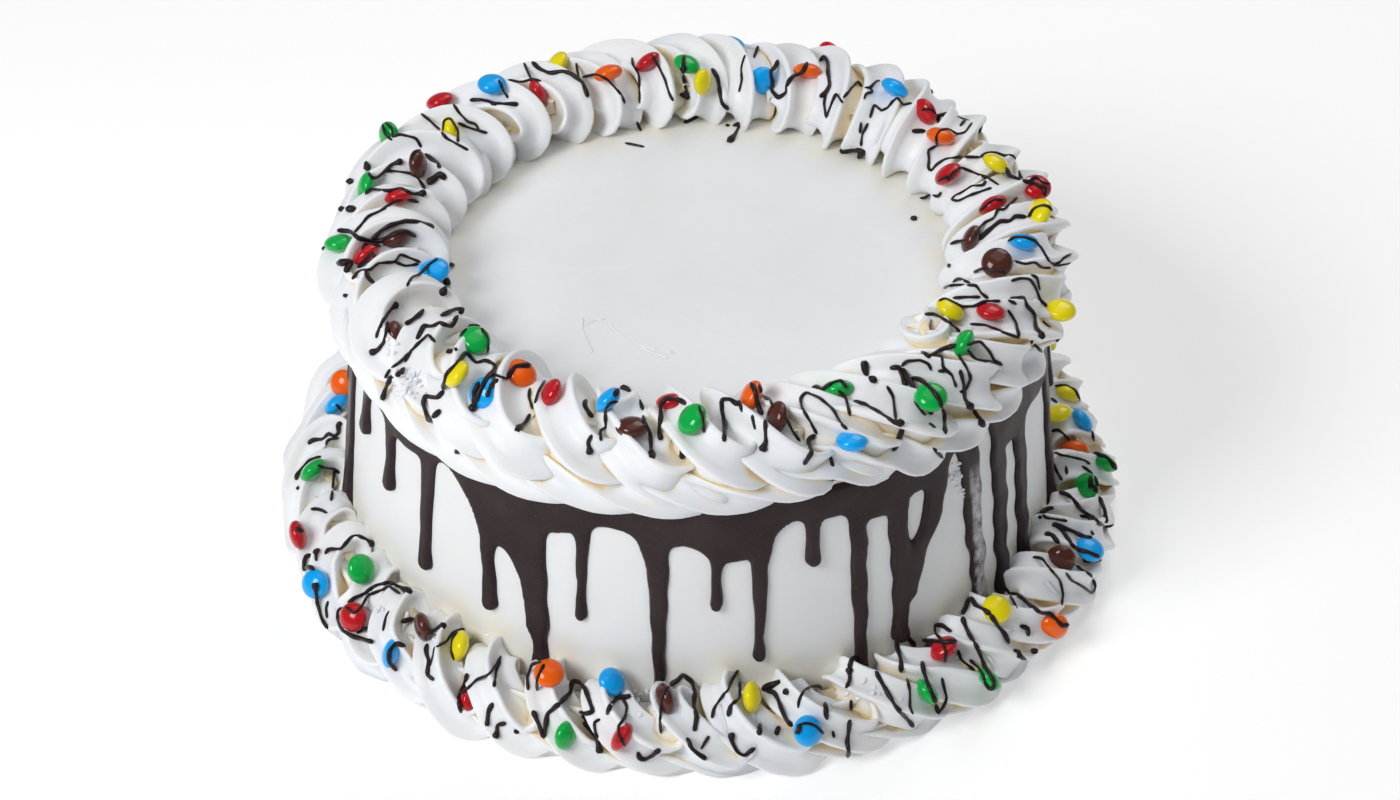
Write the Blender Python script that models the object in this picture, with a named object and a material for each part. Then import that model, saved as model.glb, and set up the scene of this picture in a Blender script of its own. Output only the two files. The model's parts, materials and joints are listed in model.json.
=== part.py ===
"""A round drip cake: an iced body, a band of chocolate that has run down its side,
and two rings of piped cream, one on the top edge and one round the foot, both
dotted with small button-shaped sweets.

Metres, +Z up. The origin is the middle of the underside, the front is -Y.
Heights of the top ring and of the chocolate band are counted from the top of the icing.
"""

import math
import random

import bpy
from mathutils import Matrix, Vector

MM = 0.001

# The iced body: a slightly flared drum with a rounded top edge
CAKE_HEIGHT = 90 * MM
CAKE_FOOT_RADIUS = 115.5 * MM
CAKE_TOP_RADIUS = 106.5 * MM
CAKE_EDGE_ROUND = 4 * MM
CAKE_EDGE_STEPS = 3
CAKE_SIDES = 72

# Room left between two pieces that lie on each other
CONTACT_GAP = 0.3 * MM

# The chocolate band, hidden at the top under the lip of the upper ring
BAND_TOP = CAKE_HEIGHT - 4.2 * MM
BAND_THICKNESS = 1.3 * MM
RUN_THICKNESS = 1.8 * MM
RIM_THICKNESS = 0.9 * MM

# Where the columns stand across a run and across the bare patch beside it, and how
# square the patch's rounded top is
RUN_ACROSS = (-1.0, -0.65, 0.0, 0.65, 1.0)
BARE_ACROSS = (0.06, 0.33, 0.67, 0.94)
BARE_SQUARENESS = 2.6

# Runs of chocolate on the shown side: degrees to the right of the front, end height,
# width, and the top of the bare patch to the run's right, all but the angle in millimetres
SHOWN_RUNS = (
    (-79.0, 23.6, 7.5, 79.0),
    (-66.7, 62.6, 6.0, 77.0),
    (-57.2, 53.8, 5.4, 70.2),
    (-47.1, 36.4, 5.5, 74.4),
    (-33.4, 35.8, 5.0, 56.2),
    (-24.2, 23.6, 5.8, 65.5),
    (-18.0, 41.8, 3.5, 71.9),
    (-5.9, 23.6, 3.8, 68.4),
    (2.6, 49.4, 3.0, 62.5),
    (9.0, 30.3, 3.4, 73.9),
    (17.5, 61.7, 4.4, 72.4),
    (25.0, 23.6, 4.8, 72.3),
    (32.6, 25.0, 6.2, 75.5),
    (48.9, 23.6, 6.5, 75.0),
    (55.2, 24.5, 5.6, 71.0),
    (62.4, 23.6, 5.6, 68.0),
    (77.6, 23.6, 7.0, 76.0),
)
HIDDEN_RUN_STEP = (10.0, 17.0)
HIDDEN_RUN_END = (23.6, 60.0)
HIDDEN_RUN_WIDTH = (3.4, 7.0)
HIDDEN_BARE_TOP = (60.0, 77.0)
LEAST_RUN_LENGTH = 8 * MM

# Piped rings: each loop of the rope shows two ribs, with a deep groove to the next loop
RIB_PATTERN = (1.0, 0.15, 0.75, -1.0)
LOOP_UNEVENNESS = 0.28
LOOP_RISE = 0.9 * MM
LOOP_DRIFT = 0.12
TOP_LOOPS = 35
TOP_TWIST = math.radians(13)
BASE_LOOPS = 37
BASE_TWIST = math.radians(10)

# Sweets: flattened balls scattered over the rings
SWEET_RADIUS = 4.65 * MM
SWEET_HALF_HEIGHT = 2.6 * MM
SWEET_SIDES = 6
SWEET_RINGS = 4
SWEET_SPACING = 11.5 * MM
SWEET_RISE = 1.3 * MM
SWEET_LEAN = 0.55
SWEET_TRIES = 40
TOP_SWEETS = 47
BASE_SWEETS = 49

SEED = 11


def clear_scene():
    for old in list(bpy.data.objects):
        bpy.data.objects.remove(old, do_unlink=True)


def make_material(name, colour, roughness):
    material = bpy.data.materials.new(name)
    material.use_nodes = True
    shader = material.node_tree.nodes["Principled BSDF"]
    shader.inputs["Base Color"].default_value = (*colour, 1.0)
    shader.inputs["Roughness"].default_value = roughness
    shader.inputs["Metallic"].default_value = 0.0
    return material


def make_object(name, points, faces, material):
    mesh = bpy.data.meshes.new(name)
    mesh.from_pydata([tuple(point) for point in points], [], faces)
    mesh.validate()
    mesh.shade_smooth()
    mesh.set_sharp_from_angle(angle=math.radians(50))
    mesh.materials.append(material)
    piece = bpy.data.objects.new(name, mesh)
    bpy.context.scene.collection.objects.link(piece)
    return piece


def at_angle(angle, radius, height):
    """A point at an angle to the right of the front, seen from outside."""
    return Vector((radius * math.sin(angle), -radius * math.cos(angle), height))


def wall_radius(height):
    return CAKE_FOOT_RADIUS + (CAKE_TOP_RADIUS - CAKE_FOOT_RADIUS) * height / CAKE_HEIGHT


def closed_ring_faces(row_count, column_count):
    """Faces of a tube bent into a ring.

    Rows run round its section, from the inner side over the top to the outer side,
    and columns run round the cake.
    """
    faces = []
    for row in range(row_count):
        following = (row + 1) % row_count
        for column in range(column_count):
            beside = (column + 1) % column_count
            faces.append((
                row * column_count + column,
                following * column_count + column,
                following * column_count + beside,
                row * column_count + beside,
            ))
    return faces


# The iced body

def body_profile():
    """Radius and height from the foot, up the side and round the edge."""
    profile = [(CAKE_FOOT_RADIUS, 0.0)]
    middle_radius = CAKE_TOP_RADIUS - CAKE_EDGE_ROUND
    middle_height = CAKE_HEIGHT - CAKE_EDGE_ROUND
    for step in range(CAKE_EDGE_STEPS + 1):
        turn = math.radians(90) * step / CAKE_EDGE_STEPS
        profile.append((
            middle_radius + CAKE_EDGE_ROUND * math.cos(turn),
            middle_height + CAKE_EDGE_ROUND * math.sin(turn),
        ))
    return profile


def make_body(material):
    profile = body_profile()
    points = [Vector((0, 0, 0))]
    for radius, height in profile:
        for side in range(CAKE_SIDES):
            points.append(at_angle(2 * math.pi * side / CAKE_SIDES, radius, height))
    points.append(Vector((0, 0, CAKE_HEIGHT)))
    top = len(points) - 1
    faces = []
    for side in range(CAKE_SIDES):
        beside = (side + 1) % CAKE_SIDES
        faces.append((0, 1 + beside, 1 + side))
        for row in range(len(profile) - 1):
            low = 1 + row * CAKE_SIDES
            high = low + CAKE_SIDES
            faces.append((low + side, low + beside, high + beside, high + side))
        faces.append((top - CAKE_SIDES + side, top - CAKE_SIDES + beside, top))
    return make_object("cake", points, faces, material)


# The chocolate band with its runs

def all_runs(draw):
    """Every run in order round the cake, with seeded ones on the side away from the front."""
    runs = [(math.radians(a), end * MM, width * MM, bare * MM) for a, end, width, bare in SHOWN_RUNS]
    angle = SHOWN_RUNS[-1][0] + draw.uniform(*HIDDEN_RUN_STEP)
    last = SHOWN_RUNS[0][0] + 360 - HIDDEN_RUN_STEP[0]
    while angle < last:
        end = draw.uniform(*HIDDEN_RUN_END) * MM
        width = draw.uniform(*HIDDEN_RUN_WIDTH) * MM
        bare = max(draw.uniform(*HIDDEN_BARE_TOP) * MM, end + LEAST_RUN_LENGTH)
        runs.append((math.radians(angle), end, width, bare))
        angle += draw.uniform(*HIDDEN_RUN_STEP)
    return runs


def run_columns(angle, end, width):
    """Angle, lowest height and thickness across one run, whose tip is a half round."""
    columns = []
    half_angle = width / 2 / wall_radius(end)
    for across in RUN_ACROSS:
        low = end + width / 2 * (1 - math.sqrt(1 - across * across))
        thickness = RUN_THICKNESS + (RIM_THICKNESS - RUN_THICKNESS) * across * across
        columns.append((angle + half_angle * across, low, thickness))
    return columns


def bare_columns(run, following):
    """Columns over the bare patch between two runs: steep at the sides, round at the top."""
    columns = []
    start = run[0] + run[2] / 2 / wall_radius(run[1])
    stop = following[0] - following[2] / 2 / wall_radius(following[1])
    for across in BARE_ACROSS:
        near = run if across < 0.5 else following
        foot = near[1] + near[2] / 2
        rise = (1 - abs(2 * across - 1) ** BARE_SQUARENESS) ** 0.5
        low = foot + (run[3] - foot) * rise
        columns.append((start + (stop - start) * across, low, BAND_THICKNESS))
    return columns


def make_chocolate(material):
    runs = all_runs(random.Random(SEED))
    columns = []
    for number, run in enumerate(runs):
        following = runs[(number + 1) % len(runs)]
        if number + 1 == len(runs):
            following = (following[0] + 2 * math.pi, *following[1:])
        columns += run_columns(run[0], run[1], run[2])
        columns += bare_columns(run, following)
    inner_low, inner_high, outer_high, outer_low = [], [], [], []
    for angle, low, thickness in columns:
        foot = wall_radius(low) + CONTACT_GAP
        head = wall_radius(BAND_TOP) + CONTACT_GAP
        inner_low.append(at_angle(angle, foot, low))
        inner_high.append(at_angle(angle, head, BAND_TOP))
        outer_high.append(at_angle(angle, head + thickness, BAND_TOP))
        outer_low.append(at_angle(angle, foot + thickness, low))
    points = inner_low + inner_high + outer_high + outer_low
    faces = closed_ring_faces(4, len(columns))
    return make_object("chocolate_drip", points, faces, material)


# The piped rings

def top_section():
    """Section of the upper ring from its inner toe, over the crest and down to the lip.

    Each point: radius, height over the icing, rib depth, share of the twist, looseness.
    """
    return (
        (75.5, 0.3, 0.0, 0.0, 0.0),
        (77.6, 7.0, 1.8, 0.05, 1.0),
        (84.5, 14.4, 2.2, 0.25, 1.0),
        (95.0, 18.0, 2.2, 0.48, 1.0),
        (104.5, 15.8, 2.2, 0.68, 1.0),
        (111.0, 10.0, 2.2, 0.84, 1.0),
        (113.9, 3.2, 1.8, 1.0, 0.8),
        (113.0, -3.4, 1.0, 1.0, 0.4),
        (110.6, -5.9, 0.0, 1.0, 0.0),
        (109.6, -3.0, 0.0, 1.0, 0.0),
        (103.5, 0.3, 0.0, 1.0, 0.0),
    )


def base_section():
    """Section of the lower ring from the wall's foot, up the wall, over the crest to the floor."""
    contact = 20.0
    wall_foot = (CAKE_FOOT_RADIUS + CONTACT_GAP) / MM
    wall_contact = (wall_radius(contact * MM) + CONTACT_GAP) / MM
    return (
        (wall_foot, 0.0, 0.0, 0.0, 0.0),
        (wall_contact, contact, 0.0, 0.0, 0.0),
        (117.6, 25.6, 1.2, 0.0, 0.5),
        (122.8, 27.0, 2.2, 0.25, 1.0),
        (128.2, 23.6, 2.3, 0.5, 1.0),
        (132.0, 16.0, 2.3, 0.75, 1.0),
        (134.0, 7.0, 1.8, 1.0, 0.9),
        (133.4, 0.0, 0.0, 1.0, 0.0),
    )


def section_normals(section):
    """Outward direction in the section's plane at each of its points."""
    normals = []
    count = len(section)
    for row in range(count):
        before = section[row - 1]
        after = section[(row + 1) % count]
        along = Vector((after[0] - before[0], after[1] - before[1]))
        normals.append(Vector((-along.y, along.x)).normalized())
    return normals


def piped_grid(section, lift, loops, twist, draw):
    """Rows of points round the cake whose columns follow the ribs of the rope."""
    normals = section_normals(section)
    per_loop = len(RIB_PATTERN)
    swell = [1 + draw.uniform(-LOOP_UNEVENNESS, LOOP_UNEVENNESS) for _ in range(loops)]
    rise = [draw.uniform(-LOOP_RISE, LOOP_RISE) for _ in range(loops)]
    drift = [draw.uniform(-LOOP_DRIFT, LOOP_DRIFT) for _ in range(loops)]
    grid = []
    for row, (radius, height, depth, turned, loose) in enumerate(section):
        points = []
        for column in range(loops * per_loop):
            loop, rib = divmod(column, per_loop)
            angle = 2 * math.pi * (column + drift[loop] * loose) / (loops * per_loop) + twist * turned
            out = depth * MM * RIB_PATTERN[rib] * swell[loop] + rise[loop] * loose
            away = radius * MM + normals[row].x * out
            up = height * MM + lift + normals[row].y * out
            points.append(at_angle(angle, away, up))
        grid.append(points)
    return grid


def make_sweet_mesh():
    """One sweet, a ball flattened along Z."""
    points = [Vector((0, 0, -SWEET_HALF_HEIGHT))]
    for ring in range(1, SWEET_RINGS):
        rise = math.pi * ring / SWEET_RINGS - math.pi / 2
        for side in range(SWEET_SIDES):
            turn = 2 * math.pi * side / SWEET_SIDES
            points.append(Vector((
                SWEET_RADIUS * math.cos(rise) * math.cos(turn),
                SWEET_RADIUS * math.cos(rise) * math.sin(turn),
                SWEET_HALF_HEIGHT * math.sin(rise),
            )))
    points.append(Vector((0, 0, SWEET_HALF_HEIGHT)))
    top = len(points) - 1
    faces = []
    for side in range(SWEET_SIDES):
        beside = (side + 1) % SWEET_SIDES
        faces.append((0, 1 + beside, 1 + side))
        for ring in range(SWEET_RINGS - 2):
            low = 1 + ring * SWEET_SIDES
            high = low + SWEET_SIDES
            faces.append((low + side, low + beside, high + beside, high + side))
        faces.append((top - SWEET_SIDES + side, top - SWEET_SIDES + beside, top))
    mesh = bpy.data.meshes.new("sweet")
    mesh.from_pydata([tuple(point) for point in points], [], faces)
    mesh.shade_smooth()
    return mesh


def sweet_places(grid, rows, count, draw):
    """Seeded places on a piped ring: point, outward direction, kept apart from each other."""
    columns = len(grid[0])
    first, last = rows
    places = []
    for number in range(count):
        for _ in range(SWEET_TRIES):
            column = int((number + draw.uniform(0.1, 0.9)) / count * columns) % columns
            beside = (column + 1) % columns
            across = draw.uniform(first, last)
            row = min(int(across), last - 1)
            share = across - row
            point = grid[row][column].lerp(grid[row + 1][column], share)
            over = grid[row + 1][column] - grid[row][column]
            along = grid[row][beside] - grid[row][column]
            outward = over.cross(along).normalized()
            if all((point - other).length > SWEET_SPACING for other, _ in places):
                places.append((point, outward))
                break
    return places


def add_sweets(ring, places, draw):
    """Sinks the sweets a little into the ring and joins them to it as one solid."""
    sweets = bpy.data.collections.new(ring.name + "_sweets")
    bpy.context.scene.collection.children.link(sweets)
    mesh = make_sweet_mesh()
    for point, outward in places:
        lean = Vector([draw.uniform(-SWEET_LEAN, SWEET_LEAN) for _ in range(3)])
        facing = (outward + lean).normalized()
        sweet = bpy.data.objects.new("sweet", mesh)
        turn = facing.to_track_quat("Z", "Y").to_matrix().to_4x4()
        spin = Matrix.Rotation(draw.uniform(0, math.pi), 4, "Z")
        sweet.matrix_world = Matrix.Translation(point + outward * SWEET_RISE) @ turn @ spin
        sweets.objects.link(sweet)
    union = ring.modifiers.new("sweets", "BOOLEAN")
    union.operation = "UNION"
    union.solver = "EXACT"
    union.operand_type = "COLLECTION"
    union.collection = sweets
    bpy.context.view_layer.update()
    joined = bpy.data.meshes.new_from_object(ring.evaluated_get(bpy.context.evaluated_depsgraph_get()))
    ring.modifiers.remove(union)
    ring.data = joined
    for sweet in list(sweets.objects):
        bpy.data.objects.remove(sweet, do_unlink=True)
    bpy.data.collections.remove(sweets)


def make_piped_ring(name, section, lift, loops, twist, sweet_rows, sweet_count, material, seed):
    draw = random.Random(seed)
    grid = piped_grid(section, lift, loops, twist, draw)
    points = [point for row in grid for point in row]
    ring = make_object(name, points, closed_ring_faces(len(grid), len(grid[0])), material)
    add_sweets(ring, sweet_places(grid, sweet_rows, sweet_count, draw), draw)
    return ring


def main():
    clear_scene()
    icing = make_material("icing", (0.80, 0.79, 0.75), 0.55)
    cream = make_material("piped_cream", (0.86, 0.85, 0.82), 0.5)
    foot_cream = make_material("piped_cream_foot", (0.86, 0.85, 0.82), 0.5)
    chocolate = make_material("chocolate", (0.022, 0.014, 0.012), 0.3)
    make_body(icing)
    make_chocolate(chocolate)
    make_piped_ring(
        "top_border", top_section(), CAKE_HEIGHT, TOP_LOOPS, TOP_TWIST, (2, 6), TOP_SWEETS, cream, SEED + 1
    )
    make_piped_ring(
        "base_border", base_section(), 0.0, BASE_LOOPS, BASE_TWIST, (3, 5), BASE_SWEETS, foot_cream, SEED + 2
    )


main()
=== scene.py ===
import json
import math
import random

import bpy
import numpy as np
from mathutils import Euler, Matrix, Vector, noise
from mathutils.bvhtree import BVHTree

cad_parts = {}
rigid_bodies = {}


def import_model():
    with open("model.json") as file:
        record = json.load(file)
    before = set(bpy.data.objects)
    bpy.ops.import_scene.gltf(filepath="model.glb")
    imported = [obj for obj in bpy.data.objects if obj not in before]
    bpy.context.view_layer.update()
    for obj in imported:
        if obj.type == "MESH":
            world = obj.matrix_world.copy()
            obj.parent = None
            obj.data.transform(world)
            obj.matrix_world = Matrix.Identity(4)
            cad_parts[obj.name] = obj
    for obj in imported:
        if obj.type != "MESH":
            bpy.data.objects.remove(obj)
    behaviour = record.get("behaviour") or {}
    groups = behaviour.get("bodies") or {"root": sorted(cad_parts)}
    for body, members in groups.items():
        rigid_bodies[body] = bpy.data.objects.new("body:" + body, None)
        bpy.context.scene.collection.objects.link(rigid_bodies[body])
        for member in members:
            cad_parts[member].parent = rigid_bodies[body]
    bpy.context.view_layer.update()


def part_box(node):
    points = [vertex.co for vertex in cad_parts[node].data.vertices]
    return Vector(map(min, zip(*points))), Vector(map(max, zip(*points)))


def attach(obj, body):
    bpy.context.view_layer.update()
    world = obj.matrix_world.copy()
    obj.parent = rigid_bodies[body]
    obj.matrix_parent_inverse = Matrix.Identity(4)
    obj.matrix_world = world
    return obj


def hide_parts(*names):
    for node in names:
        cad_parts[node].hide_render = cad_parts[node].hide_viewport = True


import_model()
mm = 0.001

# Where the solids say things are
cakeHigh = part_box("cake")[1]
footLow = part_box("base_border")[0]
icingTop = cakeHigh.z
footRadius = cakeHigh.x
wallLean = 9 * mm
rimRadius = footRadius - wallLean
middleRadius = (rimRadius + footRadius) / 2


def wallRadius(height):
    return footRadius + (rimRadius - footRadius) * height / icingTop


def aroundCake(angle, radius, height):
    # angle 0 is the front, growing to the right
    return Vector((radius * math.sin(angle), -radius * math.cos(angle), height))


def newObject(name, data):
    thing = bpy.data.objects.new(name, data)
    bpy.context.scene.collection.objects.link(thing)
    return thing


# Camera, as the photograph was taken
view = {
    "elevation": 38.2,
    "distance": 961.5 * mm,
    "aim": (0.4 * mm, 0.0, 37.6 * mm),
    "roll": -0.14,
    "focalPixels": 3000,
    "photoWidth": 1400,
    "photoHeight": 800,
    "sensorWidth": 36,
    "nearest": 10 * mm,
}


def placeCamera():
    lens = bpy.data.cameras.new("camera")
    lens.sensor_width = view["sensorWidth"]
    lens.lens = view["focalPixels"] / view["photoWidth"] * lens.sensor_width
    lens.clip_start = view["nearest"]
    camera = newObject("camera", lens)
    tip = math.radians(view["elevation"])
    back = Vector((0, -math.cos(tip), math.sin(tip))) * view["distance"]
    roll = Matrix.Rotation(math.radians(view["roll"]), 4, "Z")
    camera.matrix_world = Matrix.LocRotScale(
        Vector(view["aim"]) + back, Euler((math.radians(90) - tip, 0, 0)), None
    ) @ roll
    bpy.context.scene.camera = camera
    return camera


def photoRay(x, y):
    # the line of sight through a pixel of the photograph
    turn = camera.matrix_world.to_3x3()
    sight = turn @ Vector((
        (x - view["photoWidth"] / 2) / view["focalPixels"],
        -(y - view["photoHeight"] / 2) / view["focalPixels"],
        -1,
    ))
    return camera.matrix_world.translation.copy(), sight.normalized()


# Helpers for meshes, node trees and random draws

def meshPiece(name, points, faces, material, smooth=True):
    mesh = bpy.data.meshes.new(name)
    mesh.from_pydata([tuple(p) for p in points], [], faces)
    mesh.update()
    if smooth:
        mesh.shade_smooth()
    mesh.materials.append(material)
    return newObject(name, mesh)


def setPointValues(piece, label, values):
    layer = piece.data.attributes.new(label, "FLOAT", "POINT")
    layer.data.foreach_set("value", np.asarray(values, dtype=np.float32))


def addNode(tree, kind, settings=None, **inputs):
    # inputs named i0, i1 and so on are given by their order
    node = tree.nodes.new(kind)
    for key, value in (settings or {}).items():
        setattr(node, key, value)
    for key, value in inputs.items():
        socket = node.inputs[int(key[1:])] if key[0] == "i" and key[1:].isdigit() else node.inputs[key]
        if isinstance(value, bpy.types.NodeSocket):
            tree.links.new(value, socket)
        else:
            socket.default_value = value
    return node


def newTree(name, sockets):
    tree = bpy.data.node_groups.new(name, "GeometryNodeTree")
    face = tree.interface
    face.new_socket("Geometry", in_out="INPUT", socket_type="NodeSocketGeometry")
    face.new_socket("Geometry", in_out="OUTPUT", socket_type="NodeSocketGeometry")
    for label, kind in sockets:
        face.new_socket(label, in_out="INPUT", socket_type="NodeSocket" + kind)
    return tree, addNode(tree, "NodeGroupInput").outputs


def endTree(tree, geometry, material):
    solid = addNode(tree, "GeometryNodeRealizeInstances", Geometry=geometry)
    smooth = addNode(tree, "GeometryNodeSetShadeSmooth", Geometry=solid.outputs[0])
    painted = addNode(
        tree, "GeometryNodeSetMaterial", Geometry=smooth.outputs[0], Material=material
    )
    out = addNode(tree, "NodeGroupOutput")
    tree.links.new(painted.outputs[0], out.inputs[0])


def bakedNodes(name, source, tree, values):
    # runs the tree on the source object and keeps the result as a plain mesh
    modifier = source.modifiers.new("nodes", "NODES")
    modifier.node_group = tree
    for item in tree.interface.items_tree:
        if item.in_out == "INPUT" and item.name in values:
            modifier[item.identifier] = values[item.name]
    bpy.context.view_layer.update()
    graph = bpy.context.evaluated_depsgraph_get()
    mesh = bpy.data.meshes.new_from_object(source.evaluated_get(graph), depsgraph=graph)
    source.modifiers.remove(modifier)
    bpy.data.objects.remove(source, do_unlink=True)
    mesh.name = name
    return newObject(name, mesh)


def curveObject(name, strands):
    # each strand is a list of (place, thickness, twist)
    curve = bpy.data.curves.new(name, "CURVE")
    curve.dimensions = "3D"
    for strand in strands:
        spline = curve.splines.new("POLY")
        spline.points.add(len(strand) - 1)
        for point, (place, size, tilt) in zip(spline.points, strand):
            point.co = (*place, 1)
            point.radius = size
            point.tilt = tilt
    return newObject(name, curve)


def rayTree(piece):
    return BVHTree.FromObject(piece, bpy.context.evaluated_depsgraph_get())


def eased(share):
    return share * share * (3 - 2 * share)


def easedDraws(draw, count, most):
    # one random value a loop, read smoothly between loops, with some to spare for the swirl
    values = [draw.uniform(-most, most) for _ in range(count + 4)]

    def read(place):
        low = int(place)
        share = eased(place - low)
        return values[low] * (1 - share) + values[low + 1] * share
    return read


def roundTheCake(keys):
    # reads the values between keys of (degrees, value, value ...) all the way round
    keys = sorted(keys)
    spots = [key[0] for key in keys]

    def read(angle):
        degrees = math.degrees(angle)
        degrees = (degrees - spots[0]) % 360 + spots[0]
        ends = spots[1:] + [spots[0] + 360]
        place = next(i for i, end in enumerate(ends) if degrees <= end)
        share = eased((degrees - spots[place]) / (ends[place] - spots[place]))
        before, after = keys[place][1:], keys[(place + 1) % len(keys)][1:]
        return [a + (b - a) * share for a, b in zip(before, after)]
    return read


# Materials

def newMaterial(name, colour, roughness):
    material = bpy.data.materials.new(name)
    material.use_nodes = True
    tree = material.node_tree
    shader = tree.nodes["Principled BSDF"]
    shader.inputs["Base Color"].default_value = (*colour, 1)
    shader.inputs["Roughness"].default_value = roughness
    return material, tree, shader


def softInside(shader, weight, depth, tint):
    # light that travels a little way through the cream
    shader.inputs["Subsurface Weight"].default_value = weight
    shader.inputs["Subsurface Radius"].default_value = tint
    shader.inputs["Subsurface Scale"].default_value = depth


def noiseNode(tree, scale, detail=3.0, roughness=0.5):
    place = addNode(tree, "ShaderNodeTexCoord").outputs["Object"]
    return addNode(
        tree, "ShaderNodeTexNoise", Vector=place, Scale=scale, Detail=detail, Roughness=roughness
    ).outputs["Fac"]


def mixColours(tree, share, first, second):
    mix = addNode(tree, "ShaderNodeMix", {"data_type": "RGBA"}, i0=share)
    for socket, value in ((mix.inputs[6], first), (mix.inputs[7], second)):
        if isinstance(value, bpy.types.NodeSocket):
            tree.links.new(value, socket)
        else:
            socket.default_value = (*value, 1)
    return mix.outputs[2]


def spread(tree, value, low, high, toLow=0.0, toHigh=1.0):
    # takes the values from low to high and spreads them from toLow to toHigh
    return addNode(
        tree, "ShaderNodeMapRange", Value=value,
        **{"From Min": low, "From Max": high, "To Min": toLow, "To Max": toHigh},
    ).outputs[0]


def marked(tree, label):
    # the value that setPointValues left on the points
    return addNode(tree, "ShaderNodeAttribute", {"attribute_name": label}).outputs["Fac"]


def bumpFrom(tree, height, distance, strength, under=None):
    bump = addNode(tree, "ShaderNodeBump", Height=height, Distance=distance, Strength=strength)
    if under is not None:
        tree.links.new(under, bump.inputs["Normal"])
    return bump.outputs[0]


creamLook = {
    "white": (0.875, 0.89, 0.91),
    "cool": (0.84, 0.865, 0.905),
    # painted shade in the folds: a warm tint, and a darker warm tint deeper in
    "warm": (0.90, 0.86, 0.76),
    "paintedFoldShade": (0.86, 0.73, 0.50),
    "roughness": 0.42,
    "shine": 0.35,
    "inside": (0.3, 2 * mm, (1.0, 0.75, 0.5)),
    # how far shut in a point is where the painted warm shade and then the darker painted fold shade come
    # in
    "warmFrom": (0.42, 0.74),
    "paintedFoldShadeFrom": (0.68, 0.94),
    # scale of each pattern, and the part of its range that is used
    "drift": (30, 0.4, 0.7),
    "pits": (260, 0.05, 0.22),
    "grain": 900,
    "bumpDepth": 0.2 * mm,
    "pitStrength": 0.12,
    "grainStrength": 0.25,
}


def creamMaterial():
    material, tree, shader = newMaterial("pipedCream", creamLook["white"], creamLook["roughness"])
    softInside(shader, *creamLook["inside"])
    shader.inputs["Specular IOR Level"].default_value = creamLook["shine"]
    # the folds are painted with warm shade, darker where they are more shut in
    paintedFoldShade = marked(tree, "paintedFoldShade")
    driftScale, *driftRange = creamLook["drift"]
    drift = mixColours(tree, spread(tree, noiseNode(tree, driftScale), *driftRange),
                       creamLook["white"], creamLook["cool"])
    withPaintedWarmShade = mixColours(tree, spread(tree, paintedFoldShade, *creamLook["warmFrom"]), drift, creamLook["warm"])
    withPaintedFoldShade = mixColours(tree, spread(tree, paintedFoldShade, *creamLook["paintedFoldShadeFrom"]), withPaintedWarmShade, creamLook["paintedFoldShade"])
    tree.links.new(withPaintedFoldShade, shader.inputs["Base Color"])
    pitScale, *pitRange = creamLook["pits"]
    place = addNode(tree, "ShaderNodeTexCoord").outputs["Object"]
    holes = addNode(tree, "ShaderNodeTexVoronoi", Vector=place, Scale=pitScale).outputs["Distance"]
    depth = creamLook["bumpDepth"]
    pits = bumpFrom(tree, spread(tree, holes, *pitRange), depth, creamLook["pitStrength"])
    grain = noiseNode(tree, creamLook["grain"], 4)
    fine = bumpFrom(tree, grain, depth, creamLook["grainStrength"], pits)
    tree.links.new(fine, shader.inputs["Normal"])
    return material


icingLook = {
    "wall": (0.83, 0.845, 0.86),
    "shade": (0.80, 0.81, 0.82),
    # painted warm shade on the icing where it meets the piping
    "paintedNearShade": (0.86, 0.81, 0.66),
    "paintedNearShadeReach": 11 * mm,
    "paintedNearShadePatch": 9 * mm,
    "paintedNearShadeUneven": (0.75, 0.5),
    "paintedNearShadeFall": 1.5,
    "roughness": 0.5,
    "shine": 0.3,
    "inside": (0.3, 3 * mm, (1.0, 0.8, 0.55)),
    "blotch": (22, 0.42, 0.68),
    # scale, depth and strength of the fine and the broad marks of the spatula
    "satin": (700, 0.2 * mm, 0.25),
    "broad": (60, 1.0 * mm, 0.12),
}


def icingMaterial():
    material, tree, shader = newMaterial("spreadIcing", icingLook["wall"], icingLook["roughness"])
    softInside(shader, *icingLook["inside"])
    shader.inputs["Specular IOR Level"].default_value = icingLook["shine"]
    blotchScale, *blotchRange = icingLook["blotch"]
    blotch = spread(tree, noiseNode(tree, blotchScale, 4), *blotchRange)
    plain = mixColours(tree, blotch, icingLook["wall"], icingLook["shade"])
    # painted warm shade on the icing next to the piping
    withPaintedNearShade = mixColours(tree, marked(tree, "near"), plain, icingLook["paintedNearShade"])
    tree.links.new(withPaintedNearShade, shader.inputs["Base Color"])
    satinScale, *satin = icingLook["satin"]
    broadScale, *broad = icingLook["broad"]
    fine = bumpFrom(tree, noiseNode(tree, satinScale, 5, 0.6), *satin)
    marks = bumpFrom(tree, noiseNode(tree, broadScale, 3), *broad, fine)
    tree.links.new(marks, shader.inputs["Normal"])
    return material


chocolateLook = {
    "dark": (0.027, 0.015, 0.0168),
    "bloom": (0.060, 0.044, 0.048),
    "film": (0.58, 0.56, 0.60),
    "smooth": 0.32,
    "dull": 0.55,
    "shine": 0.17,
}
# The thin drizzle is darker and shines a little more
threadLook = {
    "dark": (0.017, 0.0095, 0.0105),
    "bloom": (0.030, 0.020, 0.022),
    "film": (0.44, 0.42, 0.47),
    "smooth": 0.3,
    "dull": 0.5,
    "shine": 0.22,
}


chocolatePatterns = {
    # scale of each pattern, and the part of its range that is used
    "specks": (1500, 0.6, 0.72),
    "haze": (60, 0.45, 0.8),
    "hazeMost": 0.45,
    "patchy": (300, 0.35, 0.65),
    "patchyLeast": 0.15,
    "dullness": (90, 0.3, 0.8),
    # scale, depth and strength of the fine and the wavy relief
    "fine": (650, 0.2 * mm, 0.2),
    "wavy": (130, 0.8 * mm, 0.25),
}


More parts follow.
